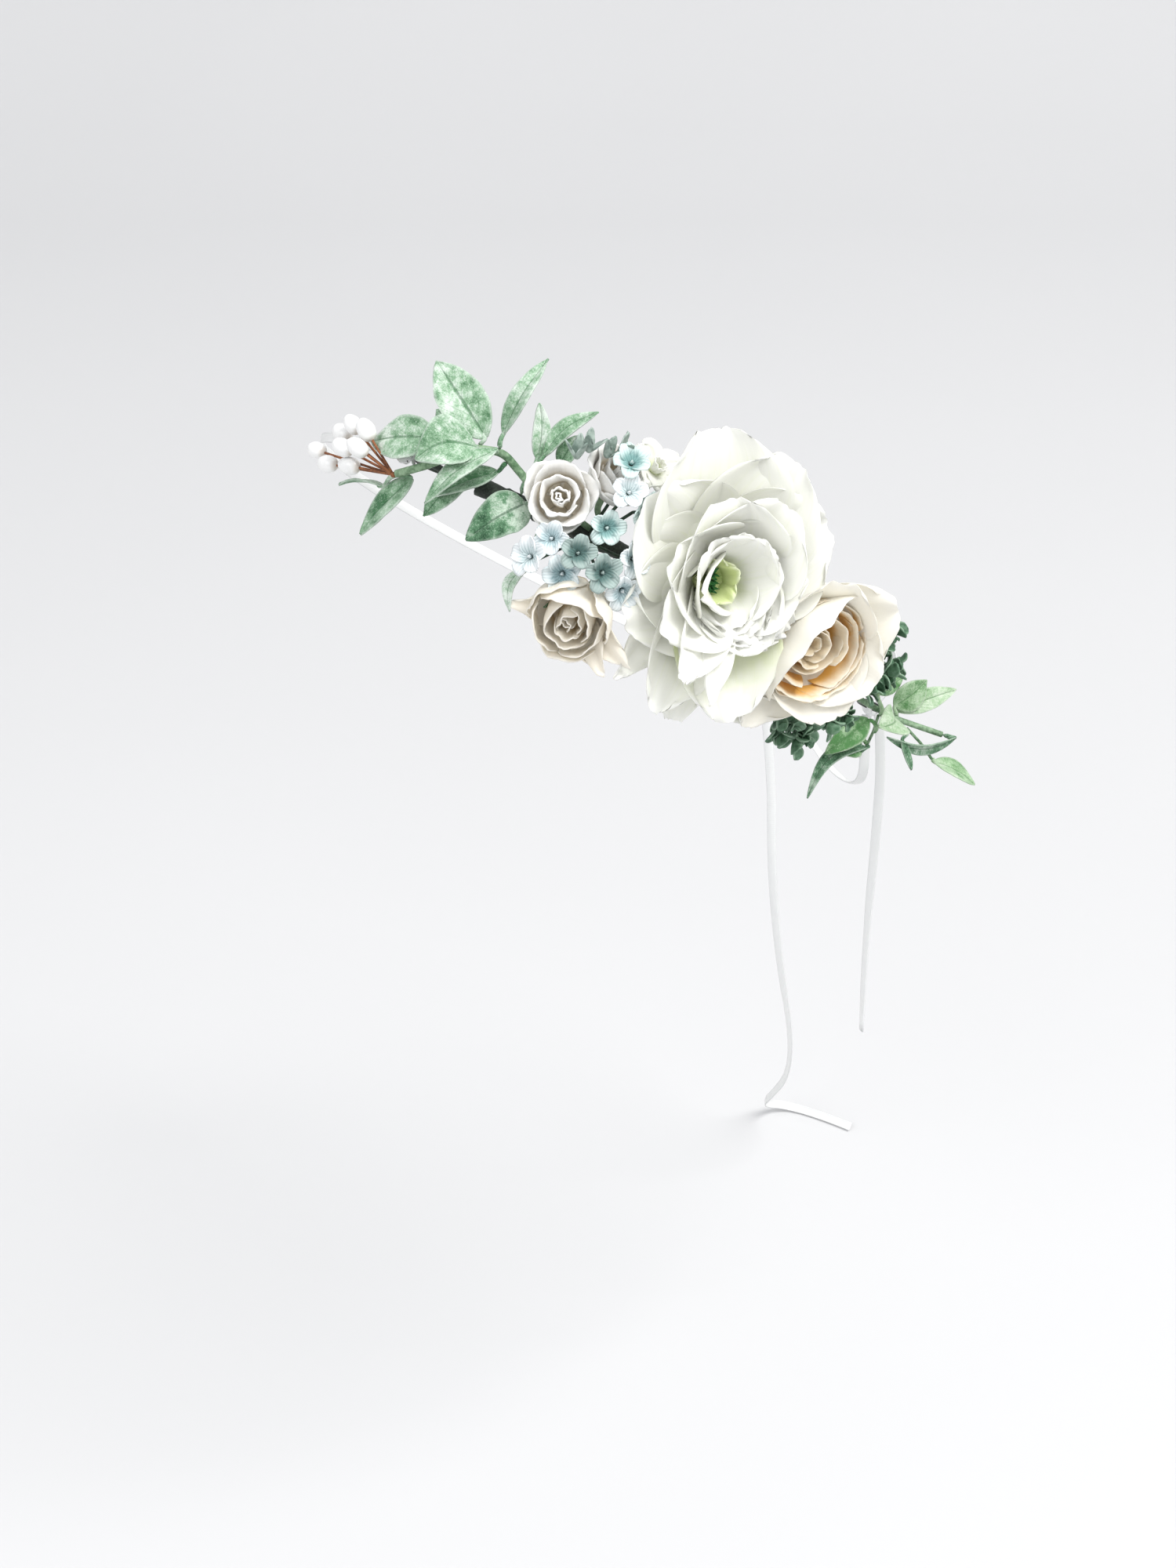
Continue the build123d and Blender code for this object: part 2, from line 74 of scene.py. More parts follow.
class Value:
    # a number inside a material, which Python's own operators can work on
    def __init__(self, finish, socket):
        self.finish, self.socket = finish, socket

    def join(self, operation, a, b):
        return self.finish.node("ShaderNodeMath", {"operation": operation}, {0: a, 1: b})

    def __add__(self, other):
        return self.join("ADD", self, other)

    def __sub__(self, other):
        return self.join("SUBTRACT", self, other)

    def __rsub__(self, other):
        return self.join("SUBTRACT", other, self)

    def __mul__(self, other):
        return self.join("MULTIPLY", self, other)

    def __truediv__(self, other):
        return self.join("DIVIDE", self, other)

    def __pow__(self, other):
        return self.join("POWER", self, other)

    __radd__ = __add__
    __rmul__ = __mul__


class Finish:
    # one material and its nodes
    def __init__(self, name):
        self.material = bpy.data.materials.new(name)
        self.material.use_nodes = True
        self.tree = self.material.node_tree
        self.tree.nodes.clear()

    def node(self, kind, settings=None, sockets=None, out=0):
        made = self.tree.nodes.new(kind)
        for key, value in (settings or {}).items():
            if key == "stops":
                ramp = made.color_ramp
                while len(ramp.elements) < len(value):
                    ramp.elements.new(0.5)
                for element, (place, colour) in zip(ramp.elements, value):
                    element.position = place
                    element.color = (*colour, 1)
            else:
                setattr(made, key, value)
        for key, value in (sockets or {}).items():
            if isinstance(value, Value):
                self.tree.links.new(value.socket, made.inputs[key])
            else:
                made.inputs[key].default_value = value
        return Value(self, made.outputs[out]) if len(made.outputs) else None

    def place(self):
        return self.node("ShaderNodeTexCoord", out=3)

    def along(self):
        # u across the piece and v along it, as two numbers
        split = self.node("ShaderNodeSeparateXYZ", None, {0: self.node("ShaderNodeTexCoord", out=2)})
        return split, Value(self, split.socket.node.outputs[1])

    def shade(self):
        return self.node("ShaderNodeAttribute", {"attribute_name": "shade"}, out=2)

    def speckle(self, scale, detail=3.0, roughness=0.55, where=None):
        return self.node("ShaderNodeTexNoise", None, {
            "Vector": where or self.place(), "Scale": scale, "Detail": detail, "Roughness": roughness})

    def step(self, value, low, high, toLow=0.0, toHigh=1.0):
        return self.node("ShaderNodeMapRange", {"interpolation_type": "SMOOTHSTEP"},
                         {0: value, 1: low, 2: high, 3: toLow, 4: toHigh})

    def ramp(self, value, stops):
        return self.node("ShaderNodeValToRGB", {"stops": stops}, {0: value})

    def mix(self, factor, a, b):
        a = a if isinstance(a, Value) else (*a, 1)
        b = b if isinstance(b, Value) else (*b, 1)
        return self.node("ShaderNodeMix", {"data_type": "RGBA"}, {0: factor, 6: a, 7: b}, out=2)

    def bump(self, height, strength, distance):
        return self.node("ShaderNodeBump", None, {"Strength": strength, "Distance": distance, "Height": height})

    def done(self, colour, roughness, normal=None, glow=0.0, through=(0.9, 0.9, 0.85), sheen=0.0, coat=0.0,
             specular=0.4, metallic=0.0):
        colour = colour if isinstance(colour, Value) else (*colour, 1)
        sockets = {"Base Color": colour, "Roughness": roughness, "Sheen Weight": sheen, "Coat Weight": coat,
                   "Specular IOR Level": specular, "Metallic": metallic}
        if normal:
            sockets["Normal"] = normal
        shader = self.node("ShaderNodeBsdfPrincipled", None, sockets)
        if glow:
            # light that comes through thin cloth
            passed = self.node("ShaderNodeBsdfTranslucent", None, {"Color": (*through, 1)})
            shader = self.node("ShaderNodeMixShader", None, {0: glow, 1: shader, 2: passed})
        self.node("ShaderNodeOutputMaterial", None, {0: shader})
        return self.material


def petalFinish(name, base, body, edge, reach=(0.15, 0.6), glow=0.3, vein=0.3, rough=0.62):
    # petal cloth: deep colour at the foot, partly the cloth's own tint and partly painted shade in the folds between
    # petals, and fine pleats that run to the edge
    finish = Finish(name)
    across, along = finish.along()
    shade = finish.shade()
    soft = finish.speckle(260.0, 3.0)
    lines = finish.node("ShaderNodeTexNoise", {"noise_dimensions": "2D"}, {
        "Vector": finish.node("ShaderNodeCombineXYZ", None, {0: across * 26.0, 1: along * 1.4, 2: 0.0}),
        "Scale": 1.0, "Detail": 3.0, "Roughness": 0.6})
    # painted shade: the foot colour spreads up each petal by its shade value, partly the cloth's own tint and partly
    # shade where petals fold over each other
    depth = finish.step(along + (soft - 0.5) * 0.3 + (shade - 0.5) * 0.5, reach[0], reach[1])
    colour = finish.mix(depth, base, body)
    colour = finish.mix(finish.step(along, 0.86, 1.0) * 0.8, colour, edge)
    colour = finish.mix(finish.step(lines, 0.5, 0.75) * 0.16, colour, base)
    weave = finish.speckle(2600.0, 1.0)
    height = lines * vein + weave * 0.1 + soft * 0.3
    return finish.done(colour, finish.step(soft, 0.2, 0.8, rough - 0.08, rough + 0.1),
                       finish.bump(height, 0.35, 0.0006), glow=glow, through=body, sheen=0.15, specular=0.25)


def leafFinish(name, dark, mid, frost, frosting=0.55, glow=0.12):
    # flocked leaf: powdery frost in patches, a dark midrib and faint side veins
    finish = Finish(name)
    across, along = finish.along()
    shade = finish.shade()
    side = finish.node("ShaderNodeMath", {"operation": "ABSOLUTE"}, {0: across - 0.5})
    patches = finish.speckle(330.0, 6.0, 0.68)
    powder = finish.speckle(2300.0, 2.0, 0.7)
    wave = finish.node("ShaderNodeMath", {"operation": "SINE"}, {0: (along * 9.0 - side * 7.0) * 6.283})
    veins = finish.step(wave, 0.72, 1.0)
    rib = finish.step(side + (patches - 0.5) * 0.02, 0.012, 0.045, 1.0, 0.0) * finish.step(along, 0.8, 1.0, 1.0, 0.0)
    cloudy = finish.speckle(95.0, 2.0)
    tone = (patches - 0.5) * 1.25 + (cloudy - 0.5) * 0.9 + (powder - 0.5) * 0.5 + shade * 0.68 + 0.13
    colour = finish.ramp(tone, [(0.22, dark), (0.5, mid), (0.8, frost)])
    colour = finish.mix(finish.step(powder, 0.55, 0.8) * frosting, colour, frost)
    colour = finish.mix(finish.step(side, 0.4, 0.5) * 0.45, colour, frost)
    colour = finish.mix(veins * patches * 0.12, colour, dark)
    colour = finish.mix(rib * 0.62, colour, dark)
    height = powder * 0.3 + patches * 0.5 - rib * 0.8 - veins * 0.35
    return finish.done(colour, finish.step(powder, 0.3, 0.7, 0.66, 0.9), finish.bump(height, 0.5, 0.0005),
                       glow=glow, through=mid, sheen=0.3, specular=0.2)


def satinFinish():
    finish = Finish("ribbon satin")
    across, along = finish.along()
    ribs = finish.node("ShaderNodeMath", {"operation": "SINE"}, {0: along * 6.283})
    edge = finish.node("ShaderNodeMath", {"operation": "ABSOLUTE"}, {0: across - 0.5})
    cloudy = finish.speckle(180.0, 2.0)
    colour = finish.mix(cloudy * 0.6, (0.86, 0.87, 0.88), (0.95, 0.95, 0.95))
    colour = finish.mix(finish.step(edge, 0.4, 0.5) * 0.35, colour, (0.74, 0.76, 0.78))
    return finish.done(colour, finish.step(cloudy, 0.3, 0.7, 0.3, 0.42),
                       finish.bump(ribs * 0.4 + finish.step(edge, 0.4, 0.5), 0.25, 0.00015),
                       glow=0.25, sheen=0.2, specular=0.6)


def stemFinish(name, dark, light, grain=900.0, rough=0.7, sheen=0.1):
    finish = Finish(name)
    grainy = finish.speckle(grain, 4.0)
    broad = finish.speckle(140.0, 2.0)
    colour = finish.mix(finish.step(grainy * 0.6 + broad * 0.5, 0.35, 0.75), dark, light)
    return finish.done(colour, finish.step(grainy, 0.3, 0.7, rough - 0.1, rough + 0.12),
                       finish.bump(grainy, 0.5, 0.0003), sheen=sheen, specular=0.3)


def tapeFinish():
    # crepe floral tape: fine creases along the stretch
    finish = Finish("floral tape")
    crepe = finish.speckle(1500.0, 4.0)
    broad = finish.speckle(200.0, 2.0)
    colour = finish.mix(finish.step(crepe * 0.7 + broad * 0.3, 0.35, 0.7), (0.012, 0.016, 0.013), (0.05, 0.065, 0.05))
    return finish.done(colour, finish.step(crepe, 0.3, 0.7, 0.55, 0.8), finish.bump(crepe, 0.6, 0.0002),
                       specular=0.35)


def berryFinish():
    finish = Finish("berry gloss")
    along = finish.along()[1]
    cloudy = finish.speckle(320.0, 3.0)
    colour = finish.mix(cloudy * 0.7, (0.78, 0.78, 0.77), (0.93, 0.93, 0.92))
    colour = finish.mix(finish.step(along, 0.0, 0.2, 0.55, 0.0), colour, (0.42, 0.33, 0.24))
    return finish.done(colour, finish.step(cloudy, 0.3, 0.7, 0.22, 0.34), finish.bump(cloudy, 0.15, 0.0003),
                       coat=0.35, specular=0.5)


def blossomFinish():
    # five-petal filler: grooves that fan out from a dusky throat to pale rims; painted shade darkens the grooves, and
    # the pale rims are partly the blossom's own colour and partly painted highlight
    finish = Finish("powder blue blossom")
    across, along = finish.along()
    shade = finish.shade()
    cloudy = finish.speckle(420.0, 3.0)
    rays = finish.node("ShaderNodeMath", {"operation": "SINE"}, {0: (across + (cloudy - 0.5) * 0.05) * 37.7})
    body = finish.ramp(shade, [(0.0, (0.10, 0.17, 0.15)), (0.3, (0.26, 0.46, 0.44)), (0.55, (0.40, 0.54, 0.58)),
                               (0.8, (0.62, 0.76, 0.79)), (1.0, (0.78, 0.87, 0.87))])
    rim = finish.ramp(shade, [(0.0, (0.36, 0.45, 0.42)), (0.3, (0.72, 0.85, 0.82)), (0.55, (0.82, 0.89, 0.91)),
                              (1.0, (0.93, 0.96, 0.97))])
    # the pale rims are partly the blossom's own colour and partly painted highlight
    colour = finish.mix(finish.step(along + (cloudy - 0.5) * 0.25, 0.35, 0.8), body, rim)
    # painted shade: the grooves are darkened along the rays
    colour = finish.mix(finish.step(rays, 0.2, 1.0) * finish.step(along, 0.2, 0.9, 0.5, 0.1), colour,
                        (0.10, 0.22, 0.23))
    colour = finish.mix(finish.step(along, 0.0, 0.24, 0.75, 0.0), colour, (0.05, 0.12, 0.12))
    return finish.done(colour, finish.step(cloudy, 0.3, 0.7, 0.5, 0.66),
                       finish.bump(rays * -0.6 + cloudy * 0.4, 0.4, 0.0003), glow=0.15,
                       through=(0.5, 0.66, 0.7), sheen=0.1, specular=0.3)


def boxwoodFinish():
    finish = Finish("boxwood leaf")
    across = finish.along()[0]
    shade = finish.shade()
    cloudy = finish.speckle(700.0, 4.0)
    side = finish.node("ShaderNodeMath", {"operation": "ABSOLUTE"}, {0: across - 0.5})
    colour = finish.ramp(cloudy * 0.7 + (shade - 0.5) * 0.6,
                         [(0.15, (0.03, 0.08, 0.04)), (0.42, (0.11, 0.22, 0.13)), (0.75, (0.30, 0.44, 0.32))])
    colour = finish.mix(finish.step(side, 0.33, 0.5) * 0.55, colour, (0.35, 0.50, 0.36))
    return finish.done(colour, finish.step(cloudy, 0.3, 0.7, 0.45, 0.65), finish.bump(cloudy, 0.4, 0.0002),
                       glow=0.08, through=(0.12, 0.25, 0.13), specular=0.35)


finishes = {
    # the yellow-green foot colour of the white petals is partly the cloth's own tint and partly painted shade between
    # the petals
    "whitePetal": petalFinish("white petal cloth", (0.76, 0.84, 0.44), (0.97, 0.972, 0.925), (0.99, 0.99, 0.97),
                              reach=(0.0, 0.62), glow=0.32),
    "throat": petalFinish("throat green cloth", (0.36, 0.52, 0.10), (0.74, 0.82, 0.42), (0.88, 0.92, 0.70),
                          reach=(0.1, 0.8), glow=0.25),
    "blushOuter": petalFinish("blush outer petal cloth",
                              (0.95, 0.87, 0.68), (0.975, 0.955, 0.885), (0.985, 0.97, 0.925),
                              reach=(0.0, 0.4), glow=0.3),
    # the orange foot colour is partly the bloom's own apricot and partly painted shade in the gaps between the swirl's
    # petals
    "blushInner": petalFinish("blush inner petal cloth", (0.93, 0.54, 0.13), (0.96, 0.865, 0.68), (0.98, 0.935, 0.83),
                              reach=(0.45, 0.8), glow=0.25, vein=0.4),
    "paper": petalFinish("mulberry paper", (0.84, 0.76, 0.60), (0.965, 0.955, 0.925), (0.98, 0.975, 0.955),
                         reach=(0.2, 0.75), glow=0.16, rough=0.75),
    "rosebud": petalFinish("rosebud cloth", (0.93, 0.78, 0.54), (0.97, 0.93, 0.84), (0.98, 0.955, 0.90),
                           reach=(0.2, 0.65), glow=0.3),
    "leafPale": leafFinish("sage leaf, frosted", (0.045, 0.15, 0.06), (0.27, 0.44, 0.28), (0.72, 0.80, 0.72)),
    "leafDark": leafFinish("sage leaf, dark", (0.018, 0.07, 0.03), (0.11, 0.24, 0.13), (0.52, 0.63, 0.52), 0.4),
    "leafLight": leafFinish("sage leaf, light green", (0.09, 0.25, 0.08), (0.40, 0.58, 0.35), (0.73, 0.83, 0.67),
                            0.3, 0.25),
    "satin": satinFinish(),
    "stem": stemFinish("stem green", (0.05, 0.12, 0.05), (0.30, 0.43, 0.28)),
    "twig": stemFinish("dark twig", (0.008, 0.018, 0.010), (0.04, 0.075, 0.045)),
    "calyx": stemFinish("calyx green", (0.07, 0.16, 0.06), (0.25, 0.40, 0.20), 600.0),
    "wire": stemFinish("wrapped wire", (0.010, 0.015, 0.011), (0.045, 0.06, 0.045), 1400.0, 0.6),
    "brown": stemFinish("berry stem brown", (0.10, 0.03, 0.012), (0.34, 0.13, 0.05), 1200.0, 0.6),
    "greyBud": stemFinish("side bud grey", (0.12, 0.18, 0.15), (0.42, 0.50, 0.45), 500.0),
    "pistil": stemFinish("pistil green", (0.006, 0.06, 0.012), (0.04, 0.20, 0.05), 800.0),
    "tape": tapeFinish(),
    "berry": berryFinish(),
    "blossom": blossomFinish(),
    "boxwood": boxwoodFinish(),
}
print("finishes made")


# meshes

class Sheets:
    # gathers thin surfaces, each a grid of points with its own shade, into one mesh
    def __init__(self):
        self.points, self.faces, self.corners, self.shades = [], [], [], []

    def grid(self, rows, shade=0.5, closed=False):
        start, wide, long = len(self.points), len(rows[0]), len(rows)
        for row in rows:
            self.points.extend(row)
            self.shades.extend([shade] * wide)
        columns = wide if closed else wide - 1
        for j in range(long - 1):
            for i in range(columns):
                k = (i + 1) % wide
                self.faces.append((start + j * wide + i, start + j * wide + k,
                                   start + (j + 1) * wide + k, start + (j + 1) * wide + i))
                u0, u1, v0, v1 = i / columns, (i + 1) / columns, j / (long - 1), (j + 1) / (long - 1)
                self.corners.extend([(u0, v0), (u1, v0), (u1, v1), (u0, v1)])

    def mesh(self, name, finish):
        made = bpy.data.meshes.new(name)
        made.from_pydata([tuple(p) for p in self.points], [], self.faces)
        made.uv_layers.new(name="UVMap").data.foreach_set("uv", [c for pair in self.corners for c in pair])
        made.attributes.new("shade", "FLOAT", "POINT").data.foreach_set("value", self.shades)
        made.materials.append(finish)
        made.polygons.foreach_set("use_smooth", [True] * len(made.polygons))
        made.update()
        return made

    def piece(self, name, finish, thickness=0.0, shut=False):
        made = bpy.data.objects.new(name, self.mesh(name, finish))
        bpy.context.scene.collection.objects.link(made)
        if shut:
            # a closed shape: its seams are joined and its faces turned outwards
            shape = bmesh.new()
            shape.from_mesh(made.data)
            bmesh.ops.remove_doubles(shape, verts=shape.verts, dist=1e-7)
            bmesh.ops.recalc_face_normals(shape, faces=shape.faces)
            shape.to_mesh(made.data)
            shape.free()
        if thickness:
            solid = made.modifiers.new("cloth thickness", "SOLIDIFY")
            solid.thickness = thickness
            solid.offset = 0.0
            even = made.modifiers.new("even shading at the rim", "WEIGHTED_NORMAL")
            even.weight = 100
        return made


def plainMesh(piece):
    # the piece as its modifiers leave it
    bpy.context.view_layer.update()
    return bpy.data.meshes.new_from_object(piece.evaluated_get(bpy.context.evaluated_depsgraph_get()))


def settle(piece, body, slot, *replaced):
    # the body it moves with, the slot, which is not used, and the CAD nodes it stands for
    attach(piece, body)
    if replaced:
        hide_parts(*replaced)
    print("made", piece.name)
    return piece


def surfaceOf(name):
    # the corner points of a CAD node's triangles
    mesh = nodes[name].data
    mesh.calc_loop_triangles()
    spots = np.empty(len(mesh.vertices) * 3)
    mesh.vertices.foreach_get("co", spots)
    corners = np.empty(len(mesh.loop_triangles) * 3, dtype=np.int64)
    mesh.loop_triangles.foreach_get("vertices", corners)
    return spots.reshape(-1, 3), corners.reshape(-1, 3)


def mainAxes(spots, corners):
    # centre and main axes of a closed shape, longest first
    a, b, c = (spots[corners[:, i]] for i in range(3))
    area = np.linalg.norm(np.cross(b - a, c - a), axis=1)[:, None]
    middle = (a + b + c) / 3
    centre = (middle * area).sum(0) / area.sum()
    spread = middle - centre
    values, vectors = np.linalg.eigh((spread * area).T @ spread / area.sum())
    order = np.argsort(values)[::-1]
    return Vector(centre), [Vector(vectors[:, i]) for i in order], values[order]


def islandsOf(name):
    # the separate solids of a node, in order along X
    spots, corners = surfaceOf(name)
    keys, merged = np.unique(np.round(spots / 2e-6).astype(np.int64), axis=0, return_inverse=True)
    merged = merged.reshape(-1)
    joined = merged[corners]
    label = np.arange(len(keys))
    while True:
        lowest = label[joined].min(1)
        before = label.copy()
        for i in range(3):
            np.minimum.at(label, joined[:, i], lowest)
        label = label[label]
        if (label == before).all():
            break
    owner = label[joined[:, 0]]
    found = []
    for one in np.unique(owner):
        mine = corners[owner == one]
        centre, axes, values = mainAxes(spots, mine)
        cloud = spots[np.unique(mine)]
        found.append({"centre": centre, "axes": axes, "values": values, "cloud": cloud})
    found.sort(key=lambda island: round(island["centre"].x, 5))
    return found


def lookOf(name):
    # where a round flower part faces: the axis it is turned about
    spots, corners = surfaceOf(name)
    centre, axes, values = mainAxes(spots, corners)
    single = 0 if values[0] - values[1] > values[1] - values[2] else 2
    axis = axes[single]
    if axis.dot(centre) < 0:
        axis = -axis
    reach = spots @ np.array(axis)
    return centre, axis, reach.min(), reach.max()


def flowerPlace(centre, axis, foot):
    # a frame at the flower's foot: x to the side, y up, z the way it looks
    side = upright.cross(axis).normalized()
    up = axis.cross(side)
    origin = centre + axis * (foot - centre.dot(axis))
    return Matrix.Translation(origin) @ Matrix((side, up, axis)).transposed().to_4x4()


petalSteps = 40  # short runs that a petal's bent path is drawn in


def petal(facts, seed):
    # one petal in its flower's frame, as a grid of points
    long, wide = facts["long"] * mm, facts["wide"] * mm
    across, along = facts.get("grid", (20, 24))
    start, end = (math.radians(a) for a in facts.get("open", (20, 60)))
    lip, lipFrom = math.radians(facts.get("lip", 0)), facts.get("lipFrom", 0.78)
    full, foot, round_ = facts.get("full", 0.6), facts.get("foot", 0.3), facts.get("round", 0.15)
    power, wrap = facts.get("power", 3.0), facts.get("wrap", 30.0) * mm
    ruffle, waves = facts.get("ruffle", 0.6) * mm, facts.get("waves", 2.5)
    crinkle, bend = facts.get("crinkle", 0.35) * mm, facts.get("bend", 1.0)
    turn, skew = math.radians(facts["turn"]), facts.get("skew", 0.0)
    phase = seed * 2.399
    count = petalSteps
    path = [(facts.get("from", 2.0) * mm, facts.get("rise", 0.0) * mm)]
    angles = []
    for k in range(count + 1):
        t = k / count
        over = max(0.0, (t - lipFrom) / (1 - lipFrom))
        angles.append(start + (end - start) * t ** bend + lip * over ** 1.5)
    for k in range(count):
        a = (angles[k] + angles[k + 1]) / 2
        path.append((path[-1][0] + long / count * math.sin(a), path[-1][1] + long / count * math.cos(a)))
    rows = []
    for j in range(along + 1):
        v = j / along
        swell = math.sin(math.pi * min(1.0, v / full) / 2) if v < full else 1.0
        narrow = math.sqrt(1.0 - max(0.0, (v - full) / (1 - full)) ** 2 * facts.get("taper", 0.78))
        half = wide / 2 * (foot + (1 - foot) * swell) * narrow
        row = []
        for i in range(across + 1):
            u = -1 + 2 * i / across
            frayed = 1 + 0.035 * noise.noise(Vector((u * 6 + seed * 5.1, seed * 1.7, 0.3)))
            reach = v * (1 - round_ * abs(u) ** power) * frayed
            spot = min(reach, 1.0) * count
            k = min(int(spot), count - 1)
            part = spot - k
            r = path[k][0] + (path[k + 1][0] - path[k][0]) * part
            z = path[k][1] + (path[k + 1][1] - path[k][1]) * part
            a = angles[k]
            offset = u * half + skew * mm * v * v
            bow = max(-2.6, min(2.6, offset / wrap))  # a petal never wraps right round
            inward = wrap * (1 - math.cos(bow))
            flutter = ruffle * v ** 1.6 * math.sin(math.pi * waves * u + phase)
            flutter += crinkle * v * noise.noise(Vector((u * 2.6 + seed, v * 2.2, seed * 0.77)))
            flutter += crinkle * 0.35 * v * noise.noise(Vector((u * 9 + seed, v * 3.1, seed * 1.3)))
            lift = inward + flutter
            x = r - math.cos(a) * lift
            y = wrap * math.sin(bow)
            row.append(Vector((x * math.cos(turn) - y * math.sin(turn), x * math.sin(turn) + y * math.cos(turn),
                               z + math.sin(a) * lift)))
        rows.append(row)
    return rows


def addPetals(sheets, place, petals, seed):
    for k, facts in enumerate(petals):
        rows = petal(facts, seed + k * 1.37)
        shift = Vector(facts.get("shift", (0, 0, 0))) * mm
        sheets.grid([[place @ (p + shift) for p in row] for row in rows], facts.get("shade", 0.5))


def petalRows(keys, rows):
    # petal facts written as rows under their names, with anything special in a dictionary at the end
    petals = []
    for row in rows:
        special = row[-1] if isinstance(row[-1], dict) else {}
        petals.append({**dict(zip(keys.split(), row[:-1] if special else row)), **special})
    return petals


def ring(count, radius, low, high, span=150, start=0, lean=(4, 14), lip=12, loose=1.0, **more):
    # a ring of petals that wrap round the flower's own axis, none quite like the next
    draw = random.Random(int(radius * 10) + start)
    petals = []
    for k in range(count):
        wide = math.radians(span) * radius * draw.uniform(0.88, 1.12)
        top = high + loose * draw.uniform(-0.9, 0.6)
        tip = draw.uniform(-5, 5) * loose
        petals.append({"turn": start + (k + draw.uniform(-0.14, 0.14) * loose) * 360 / count, "long": top - low,
                       "wide": wide, "from": radius * 0.86, "rise": low, "wrap": radius * draw.uniform(1.0, 1.12),
                       "open": (lean[0], lean[1] + tip), "lip": lip * draw.uniform(0.6, 1.5), "foot": 0.8,
                       "full": 0.4, "round": 0.1, "power": 2.6, "taper": 0.3, "ruffle": 0.3, "crinkle": 0.7,
                       "shift": (draw.uniform(-0.5, 0.5) * loose, draw.uniform(-0.5, 0.5) * loose, 0), **more})
    return petals


def cup(count, radius, rise, shade, end=4):
    # petals that run out from the flower's foot and turn up, so that it is closed behind
    return [{"turn": 360 / count * k + 13, "long": radius * 1.42, "wide": radius * 9.4 / count, "open": (97, end),
             "bend": 1.15, "from": 0.4, "rise": rise, "wrap": radius * 0.94, "foot": 0.2, "full": 0.5, "ruffle": 0.3,
             "crinkle": 0.5, "round": 0.1, "taper": 0.3, "shade": shade} for k in range(count)]


# ribbons

ribbonFacts = {"width": 0.003, "thickness": 0.00032, "across": 8, "cup": 0.18}
ribbonRoutes = {
    "tie_strand": {
        "body": "crown", "length": 0.2894, "lay": "taut", "end": "object", "flat": tuple(bandNormal), "twist": 0.0,
        "points": [(0.00453, -0.08441, 0.06595), (-0.02311, -0.07866, 0.06146), (-0.05443, -0.06133, 0.04791),
                   (-0.07439, -0.03248, 0.02537), (-0.08111, -0.00558, 0.00436), (-0.07875, 0.01897, -0.01482),
                   (-0.06872, 0.04381, -0.03423), (-0.04735, 0.06728, -0.05256), (-0.00375, 0.08227, -0.06428)]},
    "slack_strand": {
        "body": "crown", "length": 0.0927, "lay": "hanging", "end": "object", "flat": (0.5, 0.8, 0.2), "twist": 0.6,
        "points": [(0.06373, 0.05478, -0.04551), (0.0644, 0.0538, -0.0575), (0.063, 0.0556, -0.069),
                   (0.0535, 0.0615, -0.0765), (0.0385, 0.069, -0.0775), (0.021, 0.0775, -0.072),
                   (0.0034, 0.08267, -0.06518)]},
    "bow_loop": {
        "body": "crown", "length": 0.0668, "lay": "loose", "end": "object", "flat": (-0.3, 0.8, 0.3), "twist": 0.35,
        "points": [(0.06613, 0.05598, -0.04091), (0.06735, 0.05917, -0.03847), (0.06847, 0.06253, -0.03134),
                   (0.06475, 0.06381, -0.0236), (0.05776, 0.0625, -0.01849), (0.05139, 0.05931, -0.01888),
                   (0.04832, 0.05558, -0.0246), (0.05048, 0.05336, -0.03284), (0.05641, 0.05369, -0.03914),
                   (0.06273, 0.05578, -0.04151)]},
    "straight_tail": {
        "body": "side_tail", "length": 0.1138, "lay": "hanging", "end": "bare", "flat": (0.8, 0.5, 0), "twist": 1.1,
        "points": [(0.06618, 0.05753, -0.04515), (0.0678, 0.0582, -0.06), (0.0674, 0.0576, -0.09),
                   (0.0659, 0.0568, -0.126), (0.0664, 0.0564, -0.16)]},
    "long_tail": {
        "body": "rear_tail", "length": 0.2415, "lay": "hanging", "end": "bare", "flat": (0.8, 0.5, 0), "twist": 1.6,
        "points": [(0.0003, 0.0831, -0.0669), (0.003, 0.086, -0.096), (0.0058, 0.084, -0.136),
                   (0.0082, 0.087, -0.172), (0.0096, 0.0935, -0.204), (0.002, 0.1025, -0.229),
                   (-0.012, 0.1115, -0.248), (-0.0205, 0.1168, -0.2585), (-0.0185, 0.1276, -0.2635),
                   (-0.003, 0.1316, -0.2635), (0.009, 0.1326, -0.2635)]},
}


def smoothLine(name, points):
    # the route as a NURBS spline, read back as points
    curve = bpy.data.curves.new(name, "CURVE")
    curve.dimensions = "3D"
    curve.resolution_u = 16
    spline = curve.splines.new("NURBS")
    spline.points.add(len(points) - 1)
    for point, place in zip(spline.points, points):
        point.co = (*place, 1)
    spline.order_u = 3
    spline.use_endpoint_u = True
    holder = bpy.data.objects.new(name, curve)
    bpy.context.scene.collection.objects.link(holder)
    mesh = plainMesh(holder)
    line = [v.co.copy() for v in mesh.vertices]
    bpy.data.objects.remove(holder)
    bpy.data.meshes.remove(mesh)
    return line


